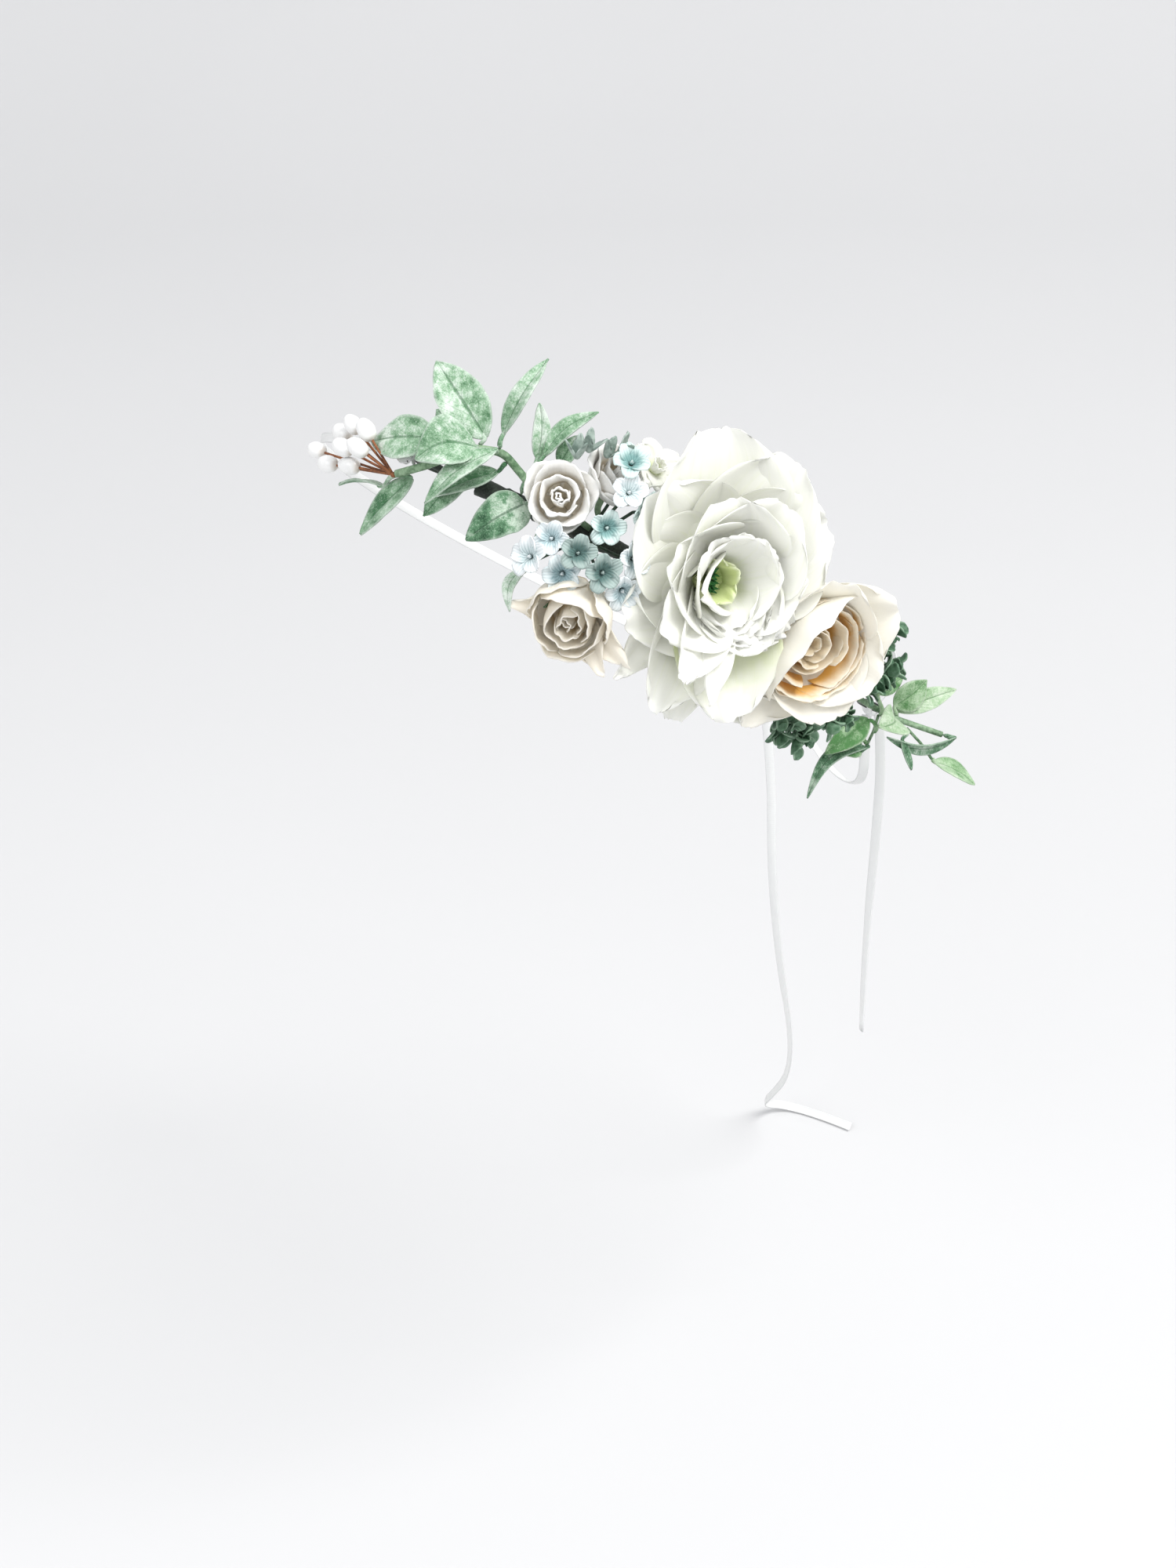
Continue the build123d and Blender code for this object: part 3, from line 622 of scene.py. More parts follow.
def flatStrip(sheets, line, flat, twist, facts, seed):
    # a flat ribbon with a little cup to its section, turning slowly along its line
    half, thick, across = facts["width"] / 2, facts["thickness"] / 2, facts["across"]
    total = sum((b - a).length for a, b in zip(line, line[1:]))
    run, rows, side = 0.0, [], Vector(flat)
    for k, point in enumerate(line):
        ahead = (line[min(k + 1, len(line) - 1)] - line[max(k - 1, 0)]).normalized()
        side = (side - ahead * side.dot(ahead)).normalized()
        if k:
            run += (point - line[k - 1]).length
        t = run / total
        turn = twist * (0.5 - 0.5 * math.cos(math.pi * t)) + 0.22 * noise.noise(Vector((t * 5, seed, 0.5)))
        wide = Matrix.Rotation(turn, 3, ahead) @ side
        up = ahead.cross(wide)
        section = []
        for face in (1, -1):
            for i in range(across + 1):
                u = (-1 + 2 * i / across) * face
                hem = 1.35 if abs(u) > 0.86 else 1.0
                height = facts["cup"] * half * (0.5 - u * u) + face * thick * hem
                section.append(point + wide * (u * half) + up * height)
        rows.append(section)
    sheets.grid(rows, 0.5, closed=True)
    for row, flip in ((rows[0], False), (rows[-1], True)):
        wide = across + 1
        upper, lower = row[:wide], row[wide:][::-1]
        sheets.grid([upper, lower] if flip else [lower, upper], 0.5)


def bandLoop(sheets, centre, axis, first, radius, width, thickness, seed, squashY=1.0):
    # a closed turn of ribbon round a knot
    axis = axis.normalized()
    first = (first - axis * first.dot(axis)).normalized()
    second = axis.cross(first)
    rows = []
    steps = 28
    for k in range(steps + 1):
        a = 2 * math.pi * (k % steps) / steps
        out = first * math.cos(a) + second * math.sin(a) * squashY
        tilt = 0.3 * math.sin(a + seed)
        section = []
        for face in (1, -1):
            for i in range(7):
                u = (-1 + i / 3) * face
                crease = 0.1 * noise.noise(Vector((a * 2, u * 3, seed)))
                height = radius * (1 + crease) - abs(u) ** 2 * width * 0.2 + face * thickness / 2
                section.append(centre + out * height + axis * (u * width / 2) + out * tilt * u * width * 0.25)
        rows.append(section)
    sheets.grid(rows, 0.5, closed=True)


def makeKnot(name, node):
    # a turn through the wire's eye, where there is one, and three turns drawn tight over each other
    spots, corners = surfaceOf(node)
    centre, axes = mainAxes(spots, corners)[:2]
    sheets = Sheets()
    long = axes[0]
    if node != "rear_ribbon_knot":
        if (wireEnd(centre) - centre).dot(long) > 0:
            long = -long
        reach = spots @ np.array(long)
        knot = centre + long * (float(reach.max()) - 2.6 * mm - centre.dot(long))
        ringCentre = centre + long * (float(reach.min()) + 3.0 * mm - centre.dot(long))
        bandLoop(sheets, ringCentre, axes[2], long, 2.1 * mm, 1.7 * mm, 0.35 * mm, 1.0)
    else:
        knot = centre
    for k, (axis, radius) in enumerate(((long, 2.15), (long.cross(upright) + upright * 0.5, 2.4),
                                        (upright + long * 0.7, 2.55))):
        bandLoop(sheets, knot, axis, axes[1] + axes[2] * 0.3, radius * mm, 2.7 * mm, 0.35 * mm, k * 2.0, 0.85)
    made = sheets.piece(name, finishes["satin"], shut=True)
    return settle(made, "crown", "satin", node)


def wireEnd(near):
    # the middle of the wire's nearest end
    spots = surfaceOf("base_wire")[0]
    distance = np.linalg.norm(spots - np.array(near), axis=1)
    return Vector(spots[distance.argsort()[:200]].mean(0))


knots = {name: makeKnot(name, node) for name, node in (
    ("front_knot", "front_ribbon_hitch"), ("back_knot", "back_ribbon_hitch"), ("rear_knot", "rear_ribbon_knot"))}
for seed, (name, facts) in enumerate(ribbonRoutes.items()):
    line = smoothLine(name, facts["points"])
    strip = Sheets()
    flatStrip(strip, line, facts["flat"], facts["twist"], ribbonFacts, seed + 0.5)
    length = sum((b - a).length for a, b in zip(line, line[1:]))
    for k, (u, v) in enumerate(strip.corners):
        strip.corners[k] = (u * 2 % 1.0001, v * length / 0.0005)
    ribbon = strip.piece(name + "_ribbon", finishes["satin"], shut=True)
    settle(ribbon, facts["body"], "satin", name)
    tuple(facts["points"][0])
print("ribbons laid")


# the blooms: petals of thin cloth, each flower in its own frame

clothThickness = 0.28 * mm


def makeBloom(name, node, place, petals, seed, finish, slotName):
    sheets = Sheets()
    addPetals(sheets, place, petals, seed)
    return settle(sheets.piece(name, finishes[finish], clothThickness), "crown", slotName, node)


# the big white bloom

whiteCentre, whiteAxis, _, whiteHigh = lookOf("white_bloom_calyx")
whitePlace = flowerPlace(whiteCentre, whiteAxis, whiteHigh + 0.3 * mm)
pointed = {"round": 0.24, "power": 1.6, "taper": 0.95, "full": 0.5}
rounded = {"round": 0.16, "power": 2.2, "taper": 0.86, "full": 0.62}
whiteOuter = petalRows("turn long wide open rise wrap shade ruffle lip", [
    (88, 42, 46, (62, 80), 0.5, 36, 0.95, 1.2),
    (128, 34, 40, (58, 76), 0.9, 32, 0.9, 1.0),
    (52, 38, 42, (60, 76), 1.2, 32, 0.95, 1.1),
    (16, 35, 42, (60, 76), 0.7, 30, 0.9, 1.0),
    (336, 30, 36, (60, 80), 0.5, 28, 0.8, 0.8),
    (300, 33, 34, (66, 84), 0.3, 28, 0.7, 0.9),
    # this petal's low shade spreads the yellow-green foot far up it, partly the cloth's own tint and partly painted
    # shade under the stack
    (268, 39, 36, (64, 80), 1.0, 24, -0.15, 1.2, 16),
    (246, 39, 24, (70, 88), 0.2, 18, 0.6),
    (232, 40, 26, (64, 80), 1.3, 15, 0.75, rounded),
    (214, 38, 21, (68, 88), 0.3, 14, 0.85, pointed),
    (192, 30, 34, (58, 82), 1.0, 24, 0.85, 0.8),
    (160, 28, 36, (58, 78), 0.6, 26, 0.85, 0.9),
])
whiteInner = petalRows("turn long wide open rise wrap shade lip", [
    (96, 29, 42, (38, 56), 3.5, 19, 0.7, 26),
    (48, 30, 40, (40, 58), 3.0, 19, 0.72, 24),
    (4, 26, 38, (42, 58), 3.2, 19, 0.75, 20),
    (322, 24, 34, (44, 56), 3.0, 18, 0.65, 20),
    (150, 27, 38, (34, 58), 3.4, 18, 0.7, 18),
    (200, 30, 32, (34, 68), 3.6, 17, 0.65, 12, rounded),
    (228, 35, 19, (34, 76), 4.0, 11, 0.7, rounded),
    (248, 37, 11, (38, 78), 4.4, 7, 0.7, rounded),
    (288, 25, 30, (38, 58), 3.2, 16, 0.6, 24),
    (122, 23, 33, (20, 44), 4.2, 14, 0.6, 30),
    (68, 22, 33, (20, 42), 4.2, 14, 0.6, 30),
    (16, 21, 30, (24, 42), 4.2, 14, 0.6, 26),
    (182, 24, 22, (14, 40), 4.4, 9, 0.5, 10, pointed),
])
whiteStack = [
    {"turn": 270 + 8 * k - 5 * (k % 2), "long": 16.5 + 1.3 * k, "wide": 24 + 0.6 * k,
     "open": (24 + 4.5 * k, 36 + 5.0 * k), "rise": 4.4, "from": 3.5, "wrap": 11 + k * 0.9, "lip": 34,
     "ruffle": 1.0, "waves": 2.6 + 0.4 * k, "crinkle": 1.5, "shade": 0.4, "shift": (-1.0, 0, 0)}
    for k in range(7)]
whiteHeart = [
    {"turn": t, "long": 13.5, "wide": 13, "open": (4, 22), "rise": 4.0, "from": 3.0, "wrap": 7.5, "lip": 26,
     "ruffle": 0.5, "crinkle": 0.9, "shade": s, "shift": (-3.0, 0.5, 0)}
    for t, s in ((20, 0.6), (92, 0.66), (160, 0.5), (232, 0.45), (300, 0.5))]
whiteHeart += [
    {"turn": 60 * k + 10, "long": 5.6, "wide": 4.6, "open": (70, 95), "from": 0.4, "rise": 9.5, "wrap": 5, "ruffle": 0.3,
     "crinkle": 0.6, "shade": 0.9, "shift": (-1.6, 1.0, 0)} for k in range(6)]

makeBloom("white_bloom_outer", "white_bloom_outer_petals", whitePlace, whiteOuter, 3.0, "whitePetal", "petal_white")
makeBloom("white_bloom_inner", "white_bloom_inner_petals", whitePlace, whiteInner + whiteStack, 11.0, "whitePetal",
          "petal_white")
makeBloom("white_bloom_throat", "white_bloom_heart", whitePlace, whiteHeart, 23.0, "throat", "heart_green")


# the blush bloom

blushCentre, blushAxis, _, blushHigh = lookOf("blush_bloom_calyx")
blushPlace = flowerPlace(blushCentre, blushAxis, blushHigh + 0.3 * mm) @ Matrix.Translation(
    Vector((-5.0, 1.5, 0)) * mm) @ Matrix.Rotation(math.radians(-8), 4, "Y")
blushOuter = petalRows("turn long wide open rise wrap shade ruffle", [
    (14, 29, 34, (44, 72), 0.6, 24, 0.8, 1.1),
    (76, 28, 38, (40, 44), 0.8, 19, 0.6, {"lip": 14}),
    (226, 31, 26, (52, 74), 0.4, 20, 0.9, {"round": 0.2, "power": 1.8, "taper": 0.9}),
    (282, 27, 34, (44, 60), 0.6, 19, 0.7),
    (326, 27, 32, (42, 58), 0.9, 19, 0.7),
    (184, 25, 32, (44, 58), 0.9, 19, 0.85),
    (134, 31, 46, (52, -26), 1.4, 22, 1.0, 0.6, {"bend": 1.2, "full": 0.5, "foot": 0.4, "taper": 0.6, "lip": 16}),
]) + cup(6, 15.9, -1.5, 0.75)
# painted shade: the low shade values of the rings at 11.6 and 14.4 mm spread the orange foot colour far up those
# petals, into the deep gaps between them
swirl = (ring(2, 2.2, 6.5, 15.4, 220, 40, (0, 6), 24, 1.5, shade=0.95, round=0.1)
         + ring(3, 5.0, 5.4, 15.8, 165, 100, (0, 8), 26, 1.6, shade=0.9)
         + ring(3, 8.3, 4.6, 16.2, 150, 30, (2, 10), 24, 1.7, shade=0.6)
         + ring(3, 11.6, 3.6, 16.6, 142, 75, (4, 12), 20, 1.7, shade=0.15)
         + ring(4, 14.4, 5.4, 17.4, 114, 48, (7, 13), 16, 1.3, shade=0.1)
         + ring(5, 15.4, 5.0, 16.4, 92, 10, (10, 13), 10, shade=1.3))
makeBloom("blush_bloom_outer", "blush_bloom_outer_petals", blushPlace, blushOuter, 31.0, "blushOuter", "petal_blush")
makeBloom("blush_bloom_swirl", "blush_bloom_inner_petals", blushPlace, swirl, 41.0, "blushInner", "petal_blush")


# small roses

def makeRose(name, facts):
    centre, axis, low, _ = lookOf(name + "_petals")
    place = flowerPlace(centre, axis, low) @ Matrix.Diagonal((*[facts["size"]] * 3, 1))
    sheets = Sheets()
    addPetals(sheets, place, facts["rings"], facts["seed"])
    addPetals(sheets, place, facts["extra"], facts["seed"] + 50)
    replaced = [name + "_petals"] + ([name + "_core"] if facts["core"] else [])
    piece = sheets.piece(name, finishes[facts["finish"]], facts["thickness"] * mm)
    return settle(piece, "crown", facts["slot"], *replaced)


paperRings = (ring(2, 1.4, 5.0, 11.6, 200, 30, (-2, -6), 0, shade=0.2, round=0.05, crinkle=0.1)
              + ring(3, 3.0, 3.8, 11.4, 150, 80, (-2, 0), 20, shade=0.6, crinkle=0.3, round=0.2, power=1.8)
              + ring(3, 5.6, 2.6, 11.2, 150, 20, (2, 12), 46, shade=0.75, round=0.2, power=1.8, lipFrom=0.66)
              + ring(3, 8.0, 1.0, 10.8, 140, 75, (8, 26), 60, shade=0.8, round=0.3, power=1.4, lipFrom=0.62)
              + ring(3, 8.8, 0.4, 9.6, 130, 20, (18, 40), 60, shade=0.85, round=0.34, power=1.3, lipFrom=0.66))
budRings = (ring(2, 2.0, 4.6, 12.8, 200, 30, (-4, -8), 6, shade=0.2, round=0.1)
            + ring(3, 4.2, 3.6, 13.8, 150, 110, (2, -10), 8, 1.4, shade=0.3, round=0.2)
            + ring(3, 6.9, 2.0, 14.2, 140, 20, (12, -18), 14, 1.4, shade=0.5, round=0.2, power=2.0)
            + ring(3, 9.0, 0.8, 15.2, 140, 80, (26, -26), 16, shade=0.9, round=0.22, wrap=9.8)
            + ring(3, 9.8, 0.2, 14.2, 124, 140, (34, -18), 26, shade=0.95, round=0.26, wrap=10.8))
budExtra = [
    {"turn": 170, "long": 17, "wide": 11, "open": (50, 78), "rise": 1.0, "wrap": 9, "round": 0.42, "power": 1.3,
     "taper": 0.6, "shade": 0.9},
    {"turn": 300, "long": 19, "wide": 11, "open": (46, 74), "rise": 1.0, "wrap": 9, "round": 0.42, "power": 1.3,
     "taper": 0.6, "shade": 0.9},
    {"turn": 322, "long": 21, "wide": 12, "open": (50, 80), "rise": 0.6, "wrap": 10, "round": 0.42, "power": 1.3,
     "taper": 0.6, "shade": 1.1},
] + cup(5, 9.8, -1.6, 0.8, -10)
paperExtra = cup(5, 8.8, -1.4, 0.8, 12)
roses = {
    "paper_rose": {"finish": "paper", "slot": "rose_paper", "core": True, "size": 0.86, "rings": paperRings,
                   "extra": paperExtra, "seed": 61.0, "thickness": 0.42},
    "second_rose": {"finish": "paper", "slot": "rose_paper", "core": True, "size": 0.82, "rings": paperRings,
                    "extra": paperExtra, "seed": 71.0, "thickness": 0.42},
    "cream_rosebud": {"finish": "rosebud", "slot": "rosebud_cloth", "core": True, "size": 1.0, "rings": budRings,
                      "extra": budExtra, "seed": 81.0, "thickness": 0.34},
    "low_rose": {"finish": "whitePetal", "slot": "petal_white", "core": False, "size": 0.72, "rings": paperRings,
                 "extra": paperExtra, "seed": 91.0, "thickness": 0.3},
}
for name, facts in roses.items():
    makeRose(name, facts)
fillerCentre, fillerAxis, fillerLow, _ = lookOf("small_white_flower")
fillerPlace = flowerPlace(fillerCentre, fillerAxis, fillerLow)
filler = Sheets()
addPetals(filler, fillerPlace, [
    {"turn": 60 * k + 25 * (k % 2), "long": 8.4, "wide": 8.0, "open": (52, 82), "from": 0.6, "rise": 0.4, "wrap": 7,
     "ruffle": 0.5, "shade": 0.9} for k in range(6)], 101.0)
addPetals(filler, fillerPlace, ring(3, 1.5, 1.0, 5.0, 150, 0, (4, 20), 20, shade=0.7), 111.0)
settle(filler.piece("small_white_filler", finishes["whitePetal"], clothThickness), "crown", "petal_white",
       "small_white_flower")


# sepals under the rosebud

budCentre, budAxis, budLow, _ = lookOf("cream_rosebud_petals")
sepals = Sheets()
addPetals(sepals, flowerPlace(budCentre, budAxis, budLow), [
    {"turn": 72 * k + 18, "long": 11.5, "wide": 5.0, "from": 1.2, "rise": -1.6, "open": (70, 12), "bend": 0.6,
     "wrap": 9, "round": 0.3, "power": 1.2, "taper": 0.85, "ruffle": 0.2, "full": 0.35, "shade": 0.4,
     "lip": 30} for k in range(5)], 121.0)
settle(sepals.piece("rosebud_sepals", finishes["leafPale"], 0.3 * mm), "crown", "calyx_green")


# leaves

def leafRows(base, tip, width, face, facts, seed):
    run = tip - base
    long, ahead = run.length, run.normalized()
    face = (face - ahead * face.dot(ahead)).normalized()
    side = ahead.cross(face)
    across, along = 12, 22
    arch, fold = facts.get("arch", 0.08), math.tan(math.radians(facts.get("fold", 12)))
    curl, twist = facts.get("curl", 0.1), math.radians(facts.get("twist", 8))
    early, sharp = facts.get("early", 0.8), facts.get("sharp", 0.75)
    sway = facts.get("sway", 0.0)
    rows = []
    for j in range(along + 1):
        v = j / along
        half = width / 2 * max(math.sin(math.pi * v ** early) ** sharp if 0 < v < 1 else 0.0,
                               0.13 * (1 - v) ** 2, 0.02)
        middle = base + run * v + face * (arch * long * math.sin(math.pi * v)) \
            + side * (sway * long * math.sin(math.pi * v))
        turn = Matrix.Rotation(twist * (v - 0.3), 3, ahead)
        row = []
        for i in range(across + 1):
            u = -1 + 2 * i / across
            rise = abs(u) * half * fold - curl * half * u * u * (0.4 + v)
            rise -= 0.16 * mm * math.exp(-(u / 0.14) ** 2)
            rise += 0.5 * mm * v * noise.noise(Vector((u * 1.8 + seed, v * 3.0, seed)))
            edge = 1 + 0.05 * noise.noise(Vector((v * 7 + seed, u, 0.5)))
            row.append(middle + turn @ (side * (u * half * edge) + face * rise))
        rows.append(row)
    return rows


def stalk(sheets, bends, radius, shade):
    # the leaf's own thin stalk, drawn as a soft curve between its bends
    rows = []
    for k in range(13):
        t = k / 12
        layer = list(bends)
        while len(layer) > 1:
            layer = [a.lerp(b, t) for a, b in zip(layer, layer[1:])]
        ahead = (bends[-1] - bends[0]).normalized()
        side = ahead.orthogonal().normalized()
        other = ahead.cross(side)
        size = radius * (1.15 - 0.55 * t) * (0.05 if k in (0, 12) else 1)
        rows.append([layer[0] + (side * math.cos(a) + other * math.sin(a)) * size
                     for a in [2 * math.pi * i / 8 for i in range(8)]])
    sheets.grid(rows, shade, closed=True)


def makeLeaves(name, facts, seed):
    stemSpots = surfaceOf(facts["stem"])[0]
    if facts["body"] + "_bend" in joints:
        # stalks leave the stem clear of its hinge
        hinge = np.array(joints[facts["body"] + "_bend"]["pos_m"])
        stemSpots = stemSpots[np.linalg.norm(stemSpots - hinge, axis=1) > 4 * mm]
    sheets = Sheets()
    for k, island in enumerate(islandsOf(facts["node"])):
        long, wide, thin = island["axes"]
        reach = (island["cloud"] - np.array(island["centre"])) @ np.array(long)
        breadth = (island["cloud"] - np.array(island["centre"])) @ np.array(wide)
        ends = [island["centre"] + long * float(reach.min()), island["centre"] + long * float(reach.max())]
        near = [np.linalg.norm(stemSpots - np.array(end), axis=1).min() for end in ends]
        base, tip = ends if near[0] < near[1] else ends[::-1]
        away = island["centre"] - bandNormal * island["centre"].dot(bandNormal) + upright * 0.01
        away = whiteAxis if facts["body"] == "right_spray" else away
        face = thin if thin.dot(away) > 0 else -thin
        style = facts["styles"][k % len(facts["styles"])]
        root = Vector(stemSpots[np.linalg.norm(stemSpots - np.array(base), axis=1).argmin()])
        gap = (root - base).length
        if gap > 0.6 * mm:
            outward = bandNormal.cross(bandNormal.cross(base)).normalized() * -1
            bends = [root, root.lerp(base, 0.4) + outward * gap * 0.5, base + (base - tip).normalized() * gap * 0.3,
                     base, base.lerp(tip, 0.12)]
            stalk(sheets, bends, 0.5 * mm, style.get("shade", 0.5))
        across = float(breadth.max() - breadth.min()) * style.get("wide", 1.0)
        sheets.grid(leafRows(base, tip, across, face, style, seed + k * 2.7), style.get("shade", 0.5))
    piece = sheets.piece(name, finishes[facts["finish"]], leafThickness)
    return settle(piece, facts["body"], facts["slot"], facts["node"])


leafThickness = 0.42 * mm
leaves = {
    "left_leaves": {
        "node": "left_broad_leaves", "stem": "left_spray_stem", "body": "left_spray", "finish": "leafPale",
        "slot": "leaf_sage", "styles": [
            {"shade": 0.62, "fold": 10}, {"shade": 0.42, "arch": 0.05}, {"shade": 0.66, "fold": 14},
            {"shade": 0.3, "arch": 0.1}, {"shade": 0.6, "arch": 0.14, "fold": 22, "sway": 0.12},
            {"shade": 0.2, "arch": 0.04}, {"shade": 0.58, "arch": 0.1, "fold": 18}]},
    "left_little_leaves": {
        "node": "left_small_leaves", "stem": "left_spray_stem", "body": "left_spray", "finish": "leafPale",
        "slot": "leaf_sage", "styles": [
            {"shade": 0.65}, {"shade": 0.5}, {"shade": 0.6, "arch": 0.16, "fold": 20, "sway": 0.1}]},
    "leaf_by_the_rose": {
        "node": "rose_leaf", "stem": "floral_tape", "body": "crown", "finish": "leafDark", "slot": "leaf_sage_dark",
        "styles": [{"shade": 0.55, "arch": 0.12, "fold": 16, "curl": 0.3, "early": 0.62, "sharp": 0.7, "wide": 1.05}]},
    "standing_leaves": {
        "node": "upright_leaves", "stem": "floral_tape", "body": "crown", "finish": "leafPale", "slot": "leaf_sage",
        "styles": [{"shade": 0.6, "fold": 16, "sway": 0.05}, {"shade": 0.6}, {"shade": 0.45, "sway": -0.08}]},
    "pale_curved_leaf": {
        "node": "curved_pale_leaf", "stem": "floral_tape", "body": "crown", "finish": "leafPale", "slot": "leaf_sage",
        "styles": [{"shade": 0.75, "arch": 0.2, "fold": 20, "sway": 0.14}]},
    "right_leaves": {
        "node": "right_broad_leaves", "stem": "right_spray_stem", "body": "right_spray", "finish": "leafLight",
        "slot": "leaf_sage", "styles": [
            {"shade": 0.3, "fold": 16}, {"shade": 0.35, "fold": 10}, {"shade": 0.2}, {"shade": 0.55, "arch": 0.1},
            {"shade": 0.62, "fold": 14}, {"shade": 0.55, "arch": 0.16, "sway": -0.14, "fold": 24},
            {"shade": 0.58, "fold": 12}]},
    "right_thin_leaves": {
        "node": "right_narrow_leaves", "stem": "right_spray_stem", "body": "right_spray", "finish": "leafDark",
        "slot": "leaf_sage_dark", "styles": [
            {"shade": 0.55, "arch": 0.16, "sway": 0.16, "fold": 26}, {"shade": 0.5, "sway": 0.08},
            {"shade": 0.65, "arch": 0.12, "sway": -0.1, "fold": 24}]},
}
for k, (name, facts) in enumerate(leaves.items()):
    makeLeaves(name, facts, 5.0 + 10 * k)


# repeated little pieces

class Tree:
    # a Geometry Nodes tree with named inputs, whose nodes are joined by what they are given
    def __init__(self, name, inputs):
        self.tree = bpy.data.node_groups.new(name, "GeometryNodeTree")
        sockets = self.tree.interface
        sockets.new_socket("Geometry", in_out="INPUT", socket_type="NodeSocketGeometry")
        for label, kind in inputs.items():
            sockets.new_socket(label, in_out="INPUT", socket_type="NodeSocket" + kind)
        sockets.new_socket("Geometry", in_out="OUTPUT", socket_type="NodeSocketGeometry")
        self.given = self.tree.nodes.new("NodeGroupInput").outputs

    def add(self, kind, settings=None, sockets=None, out=0):
        made = self.tree.nodes.new(kind)
        for key, value in (settings or {}).items():
            setattr(made, key, value)
        for key, value in (sockets or {}).items():
            if isinstance(value, bpy.types.NodeSocket):
                self.tree.links.new(value, made.inputs[key])
            else:
                made.inputs[key].default_value = value
        return made.outputs[out]

    def sums(self, operation, a, b=0.5):
        return self.add("ShaderNodeMath", {"operation": operation}, {0: a, 1: b})

    def read(self, label, kind="FLOAT"):
        return self.add("GeometryNodeInputNamedAttribute", {"data_type": kind}, {"Name": label})

    def end(self, shape):
        # plain geometry in its own finish
        solid = self.add("GeometryNodeRealizeInstances", None, {0: shape})
        coloured = self.add("GeometryNodeSetMaterial", None, {"Geometry": solid, "Material": self.given["Finish"]})
        self.tree.links.new(coloured, self.tree.nodes.new("NodeGroupOutput").inputs[0])
        return self.tree


def grow(holder, tree, values):
    # runs the tree on the holder and leaves its plain mesh there
    modifier = holder.modifiers.new(tree.name, "NODES")
    modifier.node_group = tree
    for item in tree.interface.items_tree:
        if item.in_out == "INPUT" and item.name in values:
            modifier[item.identifier] = values[item.name]
    made = plainMesh(holder)
    made.name = holder.name
    holder.modifiers.clear()
    holder.data = made
    made.polygons.foreach_set("use_smooth", [True] * len(made.polygons))
    return made


def repeatTree():
    # puts a template on every point, turned to the point's aim and lean, scaled by its size
    tree = Tree("little pieces", {"Template": "Object", "Finish": "Material", "Turn spread": "Float",
                                  "Size spread": "Float", "Seed": "Int"})
    given, add, sums = tree.given, tree.add, tree.sums

    def draw(low, high):
        return add("FunctionNodeRandomValue", {"data_type": "FLOAT"}, {2: low, 3: high, "Seed": given["Seed"]}, 1)

    copy = add("GeometryNodeObjectInfo", None, {"As Instance": True, "Object": given["Template"]}, "Geometry")
    aimed = add("FunctionNodeAlignRotationToVector", {"axis": "Z"}, {"Vector": tree.read("aim", "FLOAT_VECTOR")})
    leant = add("FunctionNodeAlignRotationToVector", {"axis": "Y", "pivot_axis": "Z"},
                {"Rotation": aimed, "Vector": tree.read("lean", "FLOAT_VECTOR")})
    angle = draw(sums("MULTIPLY", given["Turn spread"], -1.0), given["Turn spread"])
    spin = add("FunctionNodeAxisAngleToRotation", None, {"Axis": (0, 0, 1), "Angle": angle})
    turned = add("FunctionNodeRotateRotation", {"rotation_space": "LOCAL"}, {"Rotation": leant, "Rotate By": spin})
    swell = draw(sums("SUBTRACT", 1.0, given["Size spread"]), sums("ADD", 1.0, given["Size spread"]))
    return tree.end(add("GeometryNodeInstanceOnPoints", None, {
        "Points": given["Geometry"], "Instance": copy, "Rotation": turned,
        "Scale": sums("MULTIPLY", tree.read("size"), swell)}))


copiesTree = repeatTree()


def scatter(name, template, spots, finish, body, slotName, replaced, turnSpread=0.0, sizeSpread=0.0, seed=1):
    # spots: place, aim, lean, size, shade
    mesh = bpy.data.meshes.new(name + " points")
    mesh.from_pydata([tuple(s[0]) for s in spots], [], [])
    for label, index in (("aim", 1), ("lean", 2)):
        values = [c for s in spots for c in s[index]]
        mesh.attributes.new(label, "FLOAT_VECTOR", "POINT").data.foreach_set("vector", values)
    for label, index in (("size", 3), ("shade", 4)):
        mesh.attributes.new(label, "FLOAT", "POINT").data.foreach_set("value", [s[index] for s in spots])
    holder = bpy.data.objects.new(name, mesh)
    bpy.context.scene.collection.objects.link(holder)
    made = grow(holder, copiesTree, {"Template": template, "Finish": finish, "Turn spread": turnSpread,
                                     "Size spread": sizeSpread, "Seed": seed})
    for label in ("aim", "lean", "size"):
        if label in made.attributes:
            made.attributes.remove(made.attributes[label])
    bpy.data.objects.remove(template)
    return settle(holder, body, slotName, *replaced)


def templateOf(petals, seed, thickness):
    # a little flower or leaf tuft round the origin, one millimetre to the unit of its facts
    sheets = Sheets()
    addPetals(sheets, Matrix.Identity(4), petals, seed)
    made = sheets.piece("template", finishes["stem"], thickness)
    solid = plainMesh(made)
    made.modifiers.clear()
    made.data = solid
    solid.attributes.remove(solid.attributes["shade"])
    return made


blossomShades = {"teal": 0.3, "greyBlue": 0.52, "powder": 0.75, "pale": 0.95, "dark": 0.03}
blossomTemplate = templateOf([
    {"turn": 90 + 72 * k, "long": 5.9 - 0.5 * (k % 2), "wide": 5.3, "from": 0.35, "rise": -0.9,
     "open": (24, 74 + 9 * (k % 3)), "bend": 0.5, "wrap": 3.4, "foot": 0.3, "round": 0.22, "power": 2.6, "taper": 0.25,
     "full": 0.66, "ruffle": 0.15, "waves": 1.2, "crinkle": 0.6, "lip": 20, "grid": (10, 10)} for k in range(5)]
    + [{"turn": 120 * k, "long": 1.5, "wide": 1.1, "from": 0.25, "rise": -0.2, "open": (10, -30), "wrap": 0.6,
        "grid": (4, 4), "crinkle": 0.1, "ruffle": 0} for k in range(3)], 131.0, 0.3 * mm)
blossomSpots = []
blossomIslands = islandsOf("blue_blossoms")
heights = sorted(island["centre"].dot(upright) for island in blossomIslands)
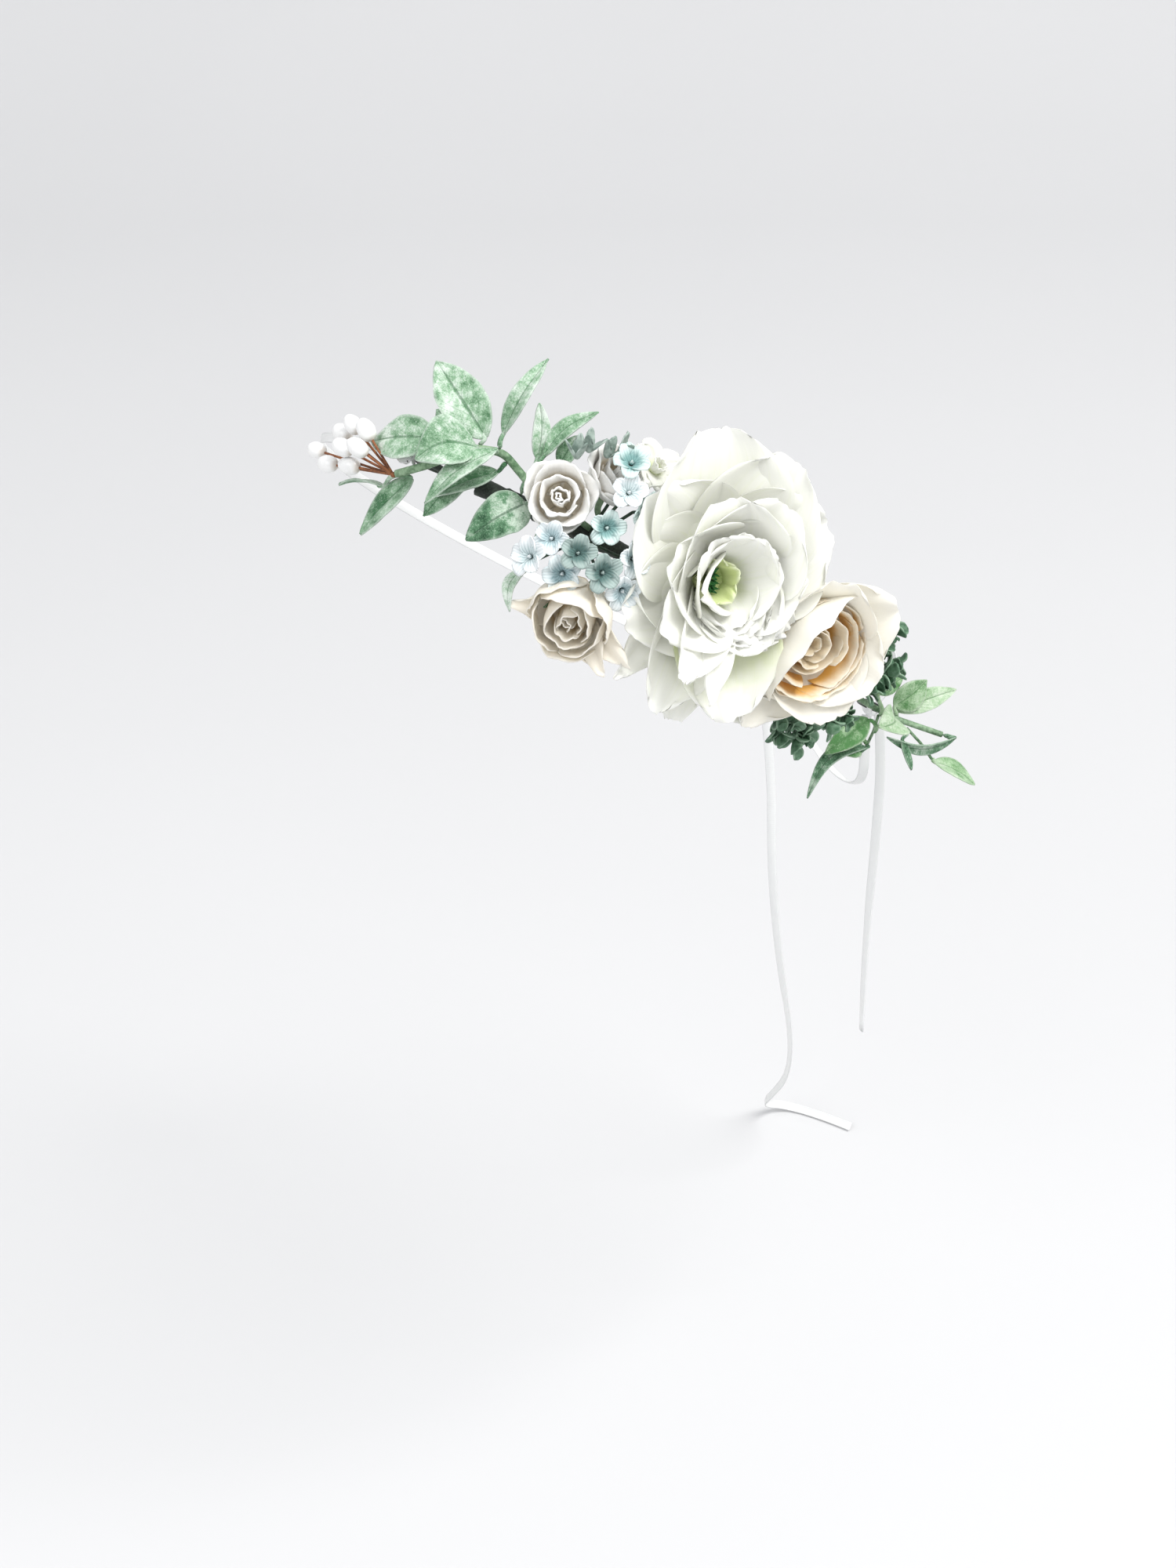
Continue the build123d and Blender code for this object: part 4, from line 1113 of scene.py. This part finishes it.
for k, island in enumerate(blossomIslands):
    aim = island["axes"][2]
    aim = aim if aim.dot(island["centre"]) > 0 else -aim
    order = ["powder", "greyBlue", "dark", "powder", "pale", "dark", "powder", "teal", "teal", "pale", "teal"]
    shade = blossomShades[order[heights.index(island["centre"].dot(upright))]]
    blossomSpots.append((island["centre"] - aim * 0.3 * mm, aim, upright, 1.0, shade))
scatter("blue_filler_blossoms", blossomTemplate, blossomSpots, finishes["blossom"], "crown", "blossom_blue",
        ["blue_blossoms"], 0.5, 0.08, 4)


def eggTemplate(wide, long, finish, seed):
    # a plump egg with a little foot where the stem goes in
    sheets = Sheets()
    rows = []
    count, height = 20, 16  # faces round and along the egg
    for j in range(height + 1):
        t = j / height
        z = long * (t - 0.5)
        r = wide / 2 * math.sqrt(max(0.0, 1 - (2 * t - 1) ** 2)) * (1 + 0.12 * (0.5 - t))
        r = max(r, 0.02 * mm)
        rows.append([Vector((r * math.cos(a), r * math.sin(a), z)) * (
            1 + 0.03 * noise.noise(Vector((math.cos(a) * 2, math.sin(a) * 2, t * 3 + seed))))
            for a in [-2 * math.pi * i / count for i in range(count)]][::-1])
    sheets.grid(rows, 0.5, closed=True)
    last = len(sheets.points)
    sheets.faces.append(tuple(range(count))[::-1])
    sheets.faces.append(tuple(range(last - count, last)))
    sheets.corners.extend([(0.5, 0.0)] * count + [(0.5, 1.0)] * count)
    made = sheets.piece("template", finish, shut=True)
    made.data.attributes.remove(made.data.attributes["shade"])
    return made


def eggSpots(name, toward, shadeOf):
    spots = []
    for k, island in enumerate(islandsOf(name)):
        aim = island["axes"][0]
        away = island["centre"] - toward(island["centre"])
        aim = aim if aim.dot(away) > 0 else -aim
        spots.append((island["centre"], aim, upright, 1.0, shadeOf(k)))
    return spots


berryRoot = Vector(joints["berry_spray_bend"]["pos_m"])
scatter("white_berries", eggTemplate(4.9 * mm, 6.9 * mm, finishes["berry"], 3.0),
        eggSpots("berries", lambda c: berryRoot, lambda k: 0.5), finishes["berry"], "berry_spray", "berry_white",
        ["berries"], 3.0, 0.07, 2)

budTemplate = templateOf([
    {"turn": 120 * k + 30, "long": 6.4, "wide": 3.4, "from": 0.4, "rise": -2.8, "open": (34, 18), "wrap": 2.6,
     "foot": 0.3, "round": 0.3, "taper": 0.6, "power": 1.8, "full": 0.5, "ruffle": 0.1, "crinkle": 0.3, "lip": 10,
     "grid": (8, 10)} for k in range(3)], 141.0, 0.4 * mm)
scatter("side_buds", budTemplate, eggSpots("grey_buds", lambda c: Vector((0, 0, 0)), lambda k: 0.5),
        finishes["greyBud"], "crown", "bud_grey", ["grey_buds"], 0.8, 0.1, 6)

pistilTemplate = templateOf([
    {"turn": 120 * k, "long": 4.2, "wide": 1.5, "from": 0.2, "rise": -0.6, "open": (12, 34), "wrap": 0.9, "round": 0.5,
     "power": 1.4, "taper": 0.9, "ruffle": 0.1, "crinkle": 0.3, "grid": (5, 8)} for k in range(3)], 145.0, 0.3 * mm)
randomPistil = random.Random(3)
pistilSpots = []
for k in range(9):
    spot = Vector((-3.4 + randomPistil.uniform(-1.1, 1.3), 0.2 + randomPistil.uniform(-2.4, 2.4), 10.6)) * mm
    lean = Vector((randomPistil.uniform(-0.4, 0.5), randomPistil.uniform(-0.4, 0.4), 1.0))
    pistilSpots.append((whitePlace @ spot, whitePlace.to_3x3() @ lean, upright, 0.9, 0.5))
scatter("white_bloom_pistil", pistilTemplate, pistilSpots, finishes["pistil"], "crown", "heart_green", [], 3.0, 0.2, 7)

tuftTemplate = templateOf([
    {"turn": 96 * k + 11 * (k % 3), "long": 5.4 - 0.3 * k, "wide": 4.5 - 0.15 * k, "from": 0.3, "rise": -2.4 + 0.9 * k,
     "open": (36, 104 - 14 * k), "wrap": 2.6, "foot": 0.24, "round": 0.2, "power": 2.4, "taper": 0.3, "full": 0.62,
     "ruffle": 0.05, "crinkle": 0.25, "lip": -12, "grid": (9, 9)} for k in range(6)], 151.0, 0.36 * mm)
randomTuft = random.Random(8)
tuftSpots = []
for place, aim, lean, size, shade in eggSpots("boxwood_buds", lambda c: c * 0.9, lambda k: 0.5):
    tuftSpots.append((place, aim, lean, 1.12, 0.35 + 0.4 * randomTuft.random()))
    sidestep = Vector([randomTuft.uniform(-1, 1) for axis in range(3)]) * 2.3 * mm
    tuftSpots.append((place + sidestep - aim * 1.2 * mm, (aim + sidestep * 300).normalized(), lean, 0.86,
                      0.2 + 0.4 * randomTuft.random()))
scatter("boxwood_tufts", tuftTemplate, tuftSpots, finishes["boxwood"], "crown", "boxwood_green", ["boxwood_buds"],
        3.1, 0.14, 9)
print("little pieces scattered")


# floral tape wound round the wire and the stems

tapeFacts = {"Radius": 0.00235, "Lap": 0.00042, "Pitch": 0.0062, "Ring": 28, "Step": 0.0009, "Creasing": 900.0,
             "Crease depth": 0.0005}


def tapeLine():
    # the middle of the CAD tape, read slice by slice
    spots = surfaceOf("floral_tape")[0]
    ahead = np.cross([1, 0, 0], np.array(bandNormal))
    a = np.arctan2(spots[:, 0], spots @ -ahead)
    edges = np.linspace(a.min(), a.max(), 30)
    line = []
    for low, high in zip(edges, edges[1:]):
        chosen = spots[(a >= low) & (a <= high)]
        if len(chosen) > 20:
            line.append(Vector((chosen.max(0) + chosen.min(0)) / 2))
    return line


def windingTree():
    # a ribbed skin round a line, each turn of tape lapping the one before
    tree = Tree("wound tape", {"Radius": "Float", "Lap": "Float", "Pitch": "Float", "Step": "Float", "Ring": "Int",
                               "Creasing": "Float", "Crease depth": "Float", "Finish": "Material"})
    given, add, sums = tree.given, tree.add, tree.sums

    def keep(label, shape, measure):
        return add("GeometryNodeStoreNamedAttribute", {"data_type": "FLOAT", "domain": "POINT"}, {
            "Name": label, "Geometry": shape, "Value": add("GeometryNodeSplineParameter", out=measure)})

    curve = add("GeometryNodeMeshToCurve", None, {0: given["Geometry"]})
    even = add("GeometryNodeResampleCurve", {"mode": "LENGTH"}, {"Curve": curve, "Length": given["Step"]})
    circle = add("GeometryNodeCurvePrimitiveCircle", None, {"Resolution": given["Ring"], "Radius": given["Radius"]})
    skin = add("GeometryNodeCurveToMesh", None, {
        "Fill Caps": True, "Curve": keep("run", even, "Length"), "Profile Curve": keep("turn", circle, "Factor")})
    phase = sums("SUBTRACT", sums("DIVIDE", tree.read("run"), given["Pitch"]), tree.read("turn"))
    lap = sums("MULTIPLY", sums("FRACT", phase), given["Lap"])
    creases = sums("SUBTRACT", add("ShaderNodeTexNoise", None, {"Scale": given["Creasing"]}), 0.5)
    out = sums("ADD", lap, sums("MULTIPLY", creases, given["Crease depth"]))
    push = add("ShaderNodeVectorMath", {"operation": "SCALE"}, {0: add("GeometryNodeInputNormal"), "Scale": out})
    return tree.end(add("GeometryNodeSetPosition", None, {"Geometry": skin, "Offset": push}))


def makeTape(facts):
    line = smoothLine("tape line", tapeLine())
    mesh = bpy.data.meshes.new("tape line")
    mesh.from_pydata([tuple(p) for p in line], [(k, k + 1) for k in range(len(line) - 1)], [])
    holder = bpy.data.objects.new("wound_floral_tape", mesh)
    bpy.context.scene.collection.objects.link(holder)
    grow(holder, windingTree(), {**facts, "Finish": finishes["tape"]})
    return settle(holder, "crown", "tape", "floral_tape")


makeTape(tapeFacts)


# better finishes for the CAD pieces that stay

nodeFinishes = {
    "base_wire": "wire", "white_bloom_calyx": "calyx", "white_bloom_stem": "stem", "blush_bloom_calyx": "calyx",
    "blush_bloom_stem": "stem", "rose_stems": "stem", "cream_rosebud_sepals": "calyx",
    "cream_rosebud_stem": "stem", "low_rose_stem": "stem", "blossom_stems": "twig", "boxwood_stems": "twig",
    "left_stem_root": "stem", "left_spray_stem": "stem", "berry_stems": "brown", "right_stem_root": "stem",
    "right_spray_stem": "stem",
}
for node, finish in nodeFinishes.items():
    nodes[node].data.materials.clear()
    nodes[node].data.materials.append(finishes[finish])


# floor and light

stageFacts = {"level": -0.2652, "size": 14.0, "tint": (0.62, 0.62, 0.625)}


def floorFinish():
    finish = Finish("pale table")
    broad = finish.speckle(3.0, 2.0)
    colour = finish.mix(broad, (0.6, 0.6, 0.605), stageFacts["tint"])
    return finish.done(colour, 0.8, specular=0.2)


def makeStage(facts):
    # the table runs back and curves up into the wall
    rows = []
    half = facts["size"] / 2
    azimuth = math.radians(cameraFacts["azimuth"])
    away = Vector((-math.sin(azimuth), math.cos(azimuth), 0))
    side = Vector((away.y, -away.x, 0))
    for j in range(31):
        t = j / 30
        if t < 0.5:
            flat, high = -half + t * 2 * (half + 1.2), 0.0
        else:
            a = min(1.0, (t - 0.5) * 4) * math.pi / 2
            flat, high = 1.2 + 0.8 * math.sin(a), 0.8 * (1 - math.cos(a)) + max(0.0, t - 0.75) * 4 * 3.0
        rows.append([away * flat + side * (half * (-1 + 2 * i / 12)) + upright * (facts["level"] + high)
                     for i in range(13)])
    sheets = Sheets()
    sheets.grid(rows[::-1])
    table = sheets.piece("table", floorFinish())


def makeLight(name, facts):
    data = bpy.data.lights.new(name, "AREA")
    data.shape, data.size, data.energy, data.color = "DISK", facts["size"], facts["power"], facts["colour"]
    light = bpy.data.objects.new(name, data)
    light.location = facts["place"]
    aim = Vector(facts["target"]) - light.location
    light.rotation_euler = aim.to_track_quat("-Z", "Y").to_euler()
    bpy.context.scene.collection.objects.link(light)


lights = {
    "key": {"place": (1.3, 0.3, 2.0), "target": (0.04, 0, 0), "size": 1.5, "power": 54.0,
            "colour": (1.0, 0.995, 0.98)},
    "fill": {"place": (0.1, -2.0, 1.6), "target": (0, 0, 0), "size": 1.6, "power": 17.0,
             "colour": (0.99, 0.995, 1.0)},
}
room = {"colour": (0.93, 0.94, 0.96), "strength": 0.93}

makeStage(stageFacts)
for name, facts in lights.items():
    makeLight(name, facts)
world = bpy.data.worlds.new("soft room")
world.use_nodes = True
world.node_tree.nodes["Background"].inputs[0].default_value = (*room["colour"], 1)
world.node_tree.nodes["Background"].inputs[1].default_value = room["strength"]
bpy.context.scene.world = world
bpy.context.scene.view_settings.view_transform = "Standard"
print("stage and lights set")
